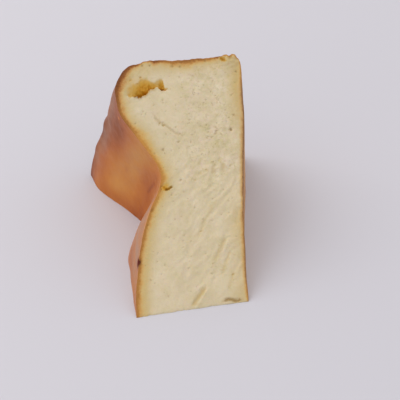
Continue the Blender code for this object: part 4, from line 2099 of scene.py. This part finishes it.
@dataclass
class CheesecakeSlice:
    """The slice of cheesecake: its coat, base and two cut faces in one closed mesh."""

    shape: CakeShape = CakeShape()
    name: str = "dressed_slice"
    node: str = "cheesecake_slice"
    slot: str = "cheesecake"
    body: str = "root"
    # How fast the upper cut's relief dies away round the slice
    relief_fall: int = 6
    cut_spacing: float = 0.44
    resting_spacing: float = 1.6
    weld_digits: int = 5
    edge_angle: float = math.radians(58.0)

    def lift_edge(self, patch: Patch, grid: Array, relief: CutRelief) -> None:
        """Let a patch's vertices near the upper cut follow its broad relief.

        Args:
            patch: The coat or the base.
            grid: Reach and height of the patch's vertices, in rows and columns.
            relief: The relief of the upper cut.
        """
        rows, columns = grid.shape[:2]
        share = np.repeat(np.arange(rows) / (rows - 1.0), columns)
        flat = grid.reshape(-1, 2)
        lift = relief.broad(flat[:, 0], np.maximum(flat[:, 1], 0.0))
        lift = (lift + relief.nose_rise(flat[:, 0])) * share ** self.relief_fall
        patch.points = patch.points + lift[:, None] * self.shape.outward(share)
        golden, brown = relief.stains(grid[-1])
        inner = np.zeros((rows - 1) * columns)
        patch.traits[Trait.GOLDEN] = np.concatenate((inner, golden))
        patch.traits[Trait.BROWN] = np.concatenate((inner, brown))

    def patches(self) -> list[Patch]:
        """Build the surface in its parts.

        Returns:
            The coat, the base and the two cut faces.
        """
        relief = CutRelief(self.shape)
        coat, coat_grid = BakedCoat(self.shape).build()
        base, base_grid = BakedBase(self.shape).build(coat_grid[:, -1, 0])
        self.lift_edge(coat, coat_grid, relief)
        self.lift_edge(base, base_grid, relief)
        cuts = (
            CutFace(self.shape, Side.UPPER, self.cut_spacing, relief),
            CutFace(self.shape, Side.RESTING, self.resting_spacing),
        )
        return [coat, base, *(cut.build(coat, coat_grid, base, base_grid) for cut in cuts)]

    def joined(self, patches: list[Patch]) -> tuple[Patch, Array]:
        """Join the patches along their shared edges.

        Args:
            patches: The patches, whose shared vertices lie in exactly the same places.

        Returns:
            One patch, and the material slot of each of its faces.
        """
        starts = np.cumsum([0] + [len(patch.points) for patch in patches[:-1]])
        points = np.concatenate([patch.points for patch in patches])
        faces = np.concatenate([patch.faces + start for patch, start in zip(patches, starts)])
        slots = np.concatenate([np.full(len(patch.faces), patch.finish.value) for patch in patches])
        rounded = np.round(points, self.weld_digits)
        _, first, same = np.unique(rounded, axis=0, return_index=True, return_inverse=True)
        faces = same.ravel()[faces]
        whole = (faces != np.roll(faces, 1, axis=1)).all(axis=1)
        kept = {
            name: np.concatenate([patch.trait(name) for patch in patches])[first] for name in Trait
        }
        return Patch(points[first], faces[whole], Finish.CREAM, kept), slots[whole]

    def build(self) -> bpy.types.Object:
        """Build and dress the slice.

        Returns:
            The finished piece, riding on the part's body.
        """
        whole, slots = self.joined(self.patches())
        mesh = bpy.data.meshes.new(self.name)
        origin = np.array(self.shape.origin())
        mesh.vertices.add(len(whole.points))
        places = (whole.points + origin) * METRES
        places[:, 2] = np.maximum(places[:, 2], CAD_BOX[0].z)
        mesh.vertices.foreach_set("co", places.ravel())
        mesh.loops.add(3 * len(whole.faces))
        mesh.loops.foreach_set("vertex_index", whole.faces.ravel())
        mesh.polygons.add(len(whole.faces))
        mesh.polygons.foreach_set("loop_start", 3 * np.arange(len(whole.faces)))
        mesh.polygons.foreach_set("material_index", slots)
        mesh.update(calc_edges=True)
        for name, values in whole.traits.items():
            attribute = mesh.attributes.new(name.value, "FLOAT", "POINT")
            attribute.data.foreach_set("value", values.astype(np.float32))
        for finish in (CreamFinish(), SkinFinish(), BaseFinish()):
            mesh.materials.append(finish.make())
        mesh.shade_smooth()
        mesh.set_sharp_from_angle(angle=self.edge_angle)
        piece = bpy.data.objects.new(self.name, mesh)
        bpy.context.scene.collection.objects.link(piece)
        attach(piece, self.body)
        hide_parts(self.node)
        return piece


@dataclass(frozen=True)
class SoftLight:
    """A square soft light that looks at the slice, with its distance and its side in metres."""

    name: str
    direction: Direction
    distance: float
    side: float
    power: float
    colour: Colour

    def hang(self) -> None:
        """Hang the light."""
        light = bpy.data.lights.new(self.name, "AREA")
        light.shape = "SQUARE"
        light.size = self.side
        light.energy = self.power
        light.color = self.colour
        lamp = bpy.data.objects.new(self.name, light)
        bpy.context.scene.collection.objects.link(lamp)
        away = Vector(self.direction).normalized()
        lamp.location = away * self.distance
        lamp.rotation_mode = "QUATERNION"
        lamp.rotation_quaternion = away.to_track_quat("Z", "Y")


@dataclass
class Studio:
    """The pale floor, the soft lights and the pale surroundings, with lengths in metres."""

    floor_size: float = 8.0
    floor_gap: float = 0.00005
    lights: tuple[SoftLight, ...] = (
        SoftLight("key_light", (-0.47, 0.33, 0.80), 1.3, 1.05, 5.4, (1.0, 0.97, 0.93)),
        SoftLight("fill_light", (-0.35, -0.75, 0.56), 1.6, 1.4, 1.6, (0.96, 0.97, 1.0)),
    )
    sky_colour: Colour = (0.98, 0.97, 0.96)
    sky_strength: float = 0.82

    def build(self) -> bpy.types.Object:
        """Build the studio.

        Returns:
            The floor.
        """
        half = self.floor_size / 2.0
        mesh = bpy.data.meshes.new("floor")
        corners = [(-half, -half, 0.0), (half, -half, 0.0), (half, half, 0.0), (-half, half, 0.0)]
        mesh.from_pydata(corners, [], [(0, 1, 2, 3)])
        mesh.materials.append(FloorFinish().make())
        floor = bpy.data.objects.new("floor", mesh)
        floor.location.z = CAD_BOX[0].z - self.floor_gap
        bpy.context.scene.collection.objects.link(floor)
        for light in self.lights:
            light.hang()
        world = bpy.data.worlds.new("pale_surroundings")
        world.use_nodes = True
        background = world.node_tree.nodes["Background"]
        background.inputs["Color"].default_value = (*self.sky_colour, 1.0)
        background.inputs["Strength"].default_value = self.sky_strength
        bpy.context.scene.world = world
        bpy.context.scene.view_settings.view_transform = "Standard"
        return floor


@dataclass
class PhotoCamera:
    """The camera, at the photograph's viewing angle, placed by where the base corner shows."""

    elevation: float = math.radians(36.4)
    turn: float = math.radians(2.4)
    roll: float = math.radians(-2.7)
    lens: float = 108.0
    sensor: float = 36.0
    image_size: float = 400.0
    base_corner_pixel: Place = (247.0, 301.5)
    millimetres_per_pixel: float = 0.4325
    nearest: float = 0.01

    def build(self, shape: CakeShape) -> bpy.types.Object:
        """Set up the camera.

        Args:
            shape: The shape of the slice, whose base corner the camera is placed by.

        Returns:
            The camera.
        """
        turn = Matrix.Rotation(self.turn, 3, "Z")
        ahead = turn @ Vector((0.0, math.cos(self.elevation), -math.sin(self.elevation)))
        level_right = turn @ Vector((1.0, 0.0, 0.0))
        level_up = turn @ Vector((0.0, math.sin(self.elevation), math.cos(self.elevation)))
        right = level_right * math.cos(self.roll) + level_up * math.sin(self.roll)
        up = level_up * math.cos(self.roll) - level_right * math.sin(self.roll)
        focal = self.image_size * self.lens / self.sensor
        middle = self.image_size / 2.0
        column, row = self.base_corner_pixel
        ray = ahead + right * ((column - middle) / focal) + up * ((middle - row) / focal)
        data = bpy.data.cameras.new("photo_camera")
        data.lens = self.lens
        data.sensor_width = self.sensor
        data.clip_start = self.nearest
        camera = bpy.data.objects.new("photo_camera", data)
        bpy.context.scene.collection.objects.link(camera)
        place = (shape.origin() - ray * focal * self.millimetres_per_pixel) * METRES
        rotation = Matrix((right, up, -ahead)).transposed().to_4x4()
        camera.matrix_world = Matrix.Translation(place) @ rotation
        bpy.context.scene.camera = camera
        return camera


def main() -> None:
    """Build the slice, the studio and the camera, and report each piece."""
    logging.basicConfig(level=logging.INFO, format="%(name)s: %(message)s")
    cake = CheesecakeSlice()
    piece = cake.build()
    log.info("%s: %d triangles", piece.name, len(piece.data.polygons))
    floor = Studio().build()
    log.info("%s: %d faces, stage", floor.name, len(floor.data.polygons))
    camera = PhotoCamera().build(cake.shape)
    log.info("%s at %s", camera.name, tuple(round(value, 4) for value in camera.location))


if __name__ == "__main__":
    main()
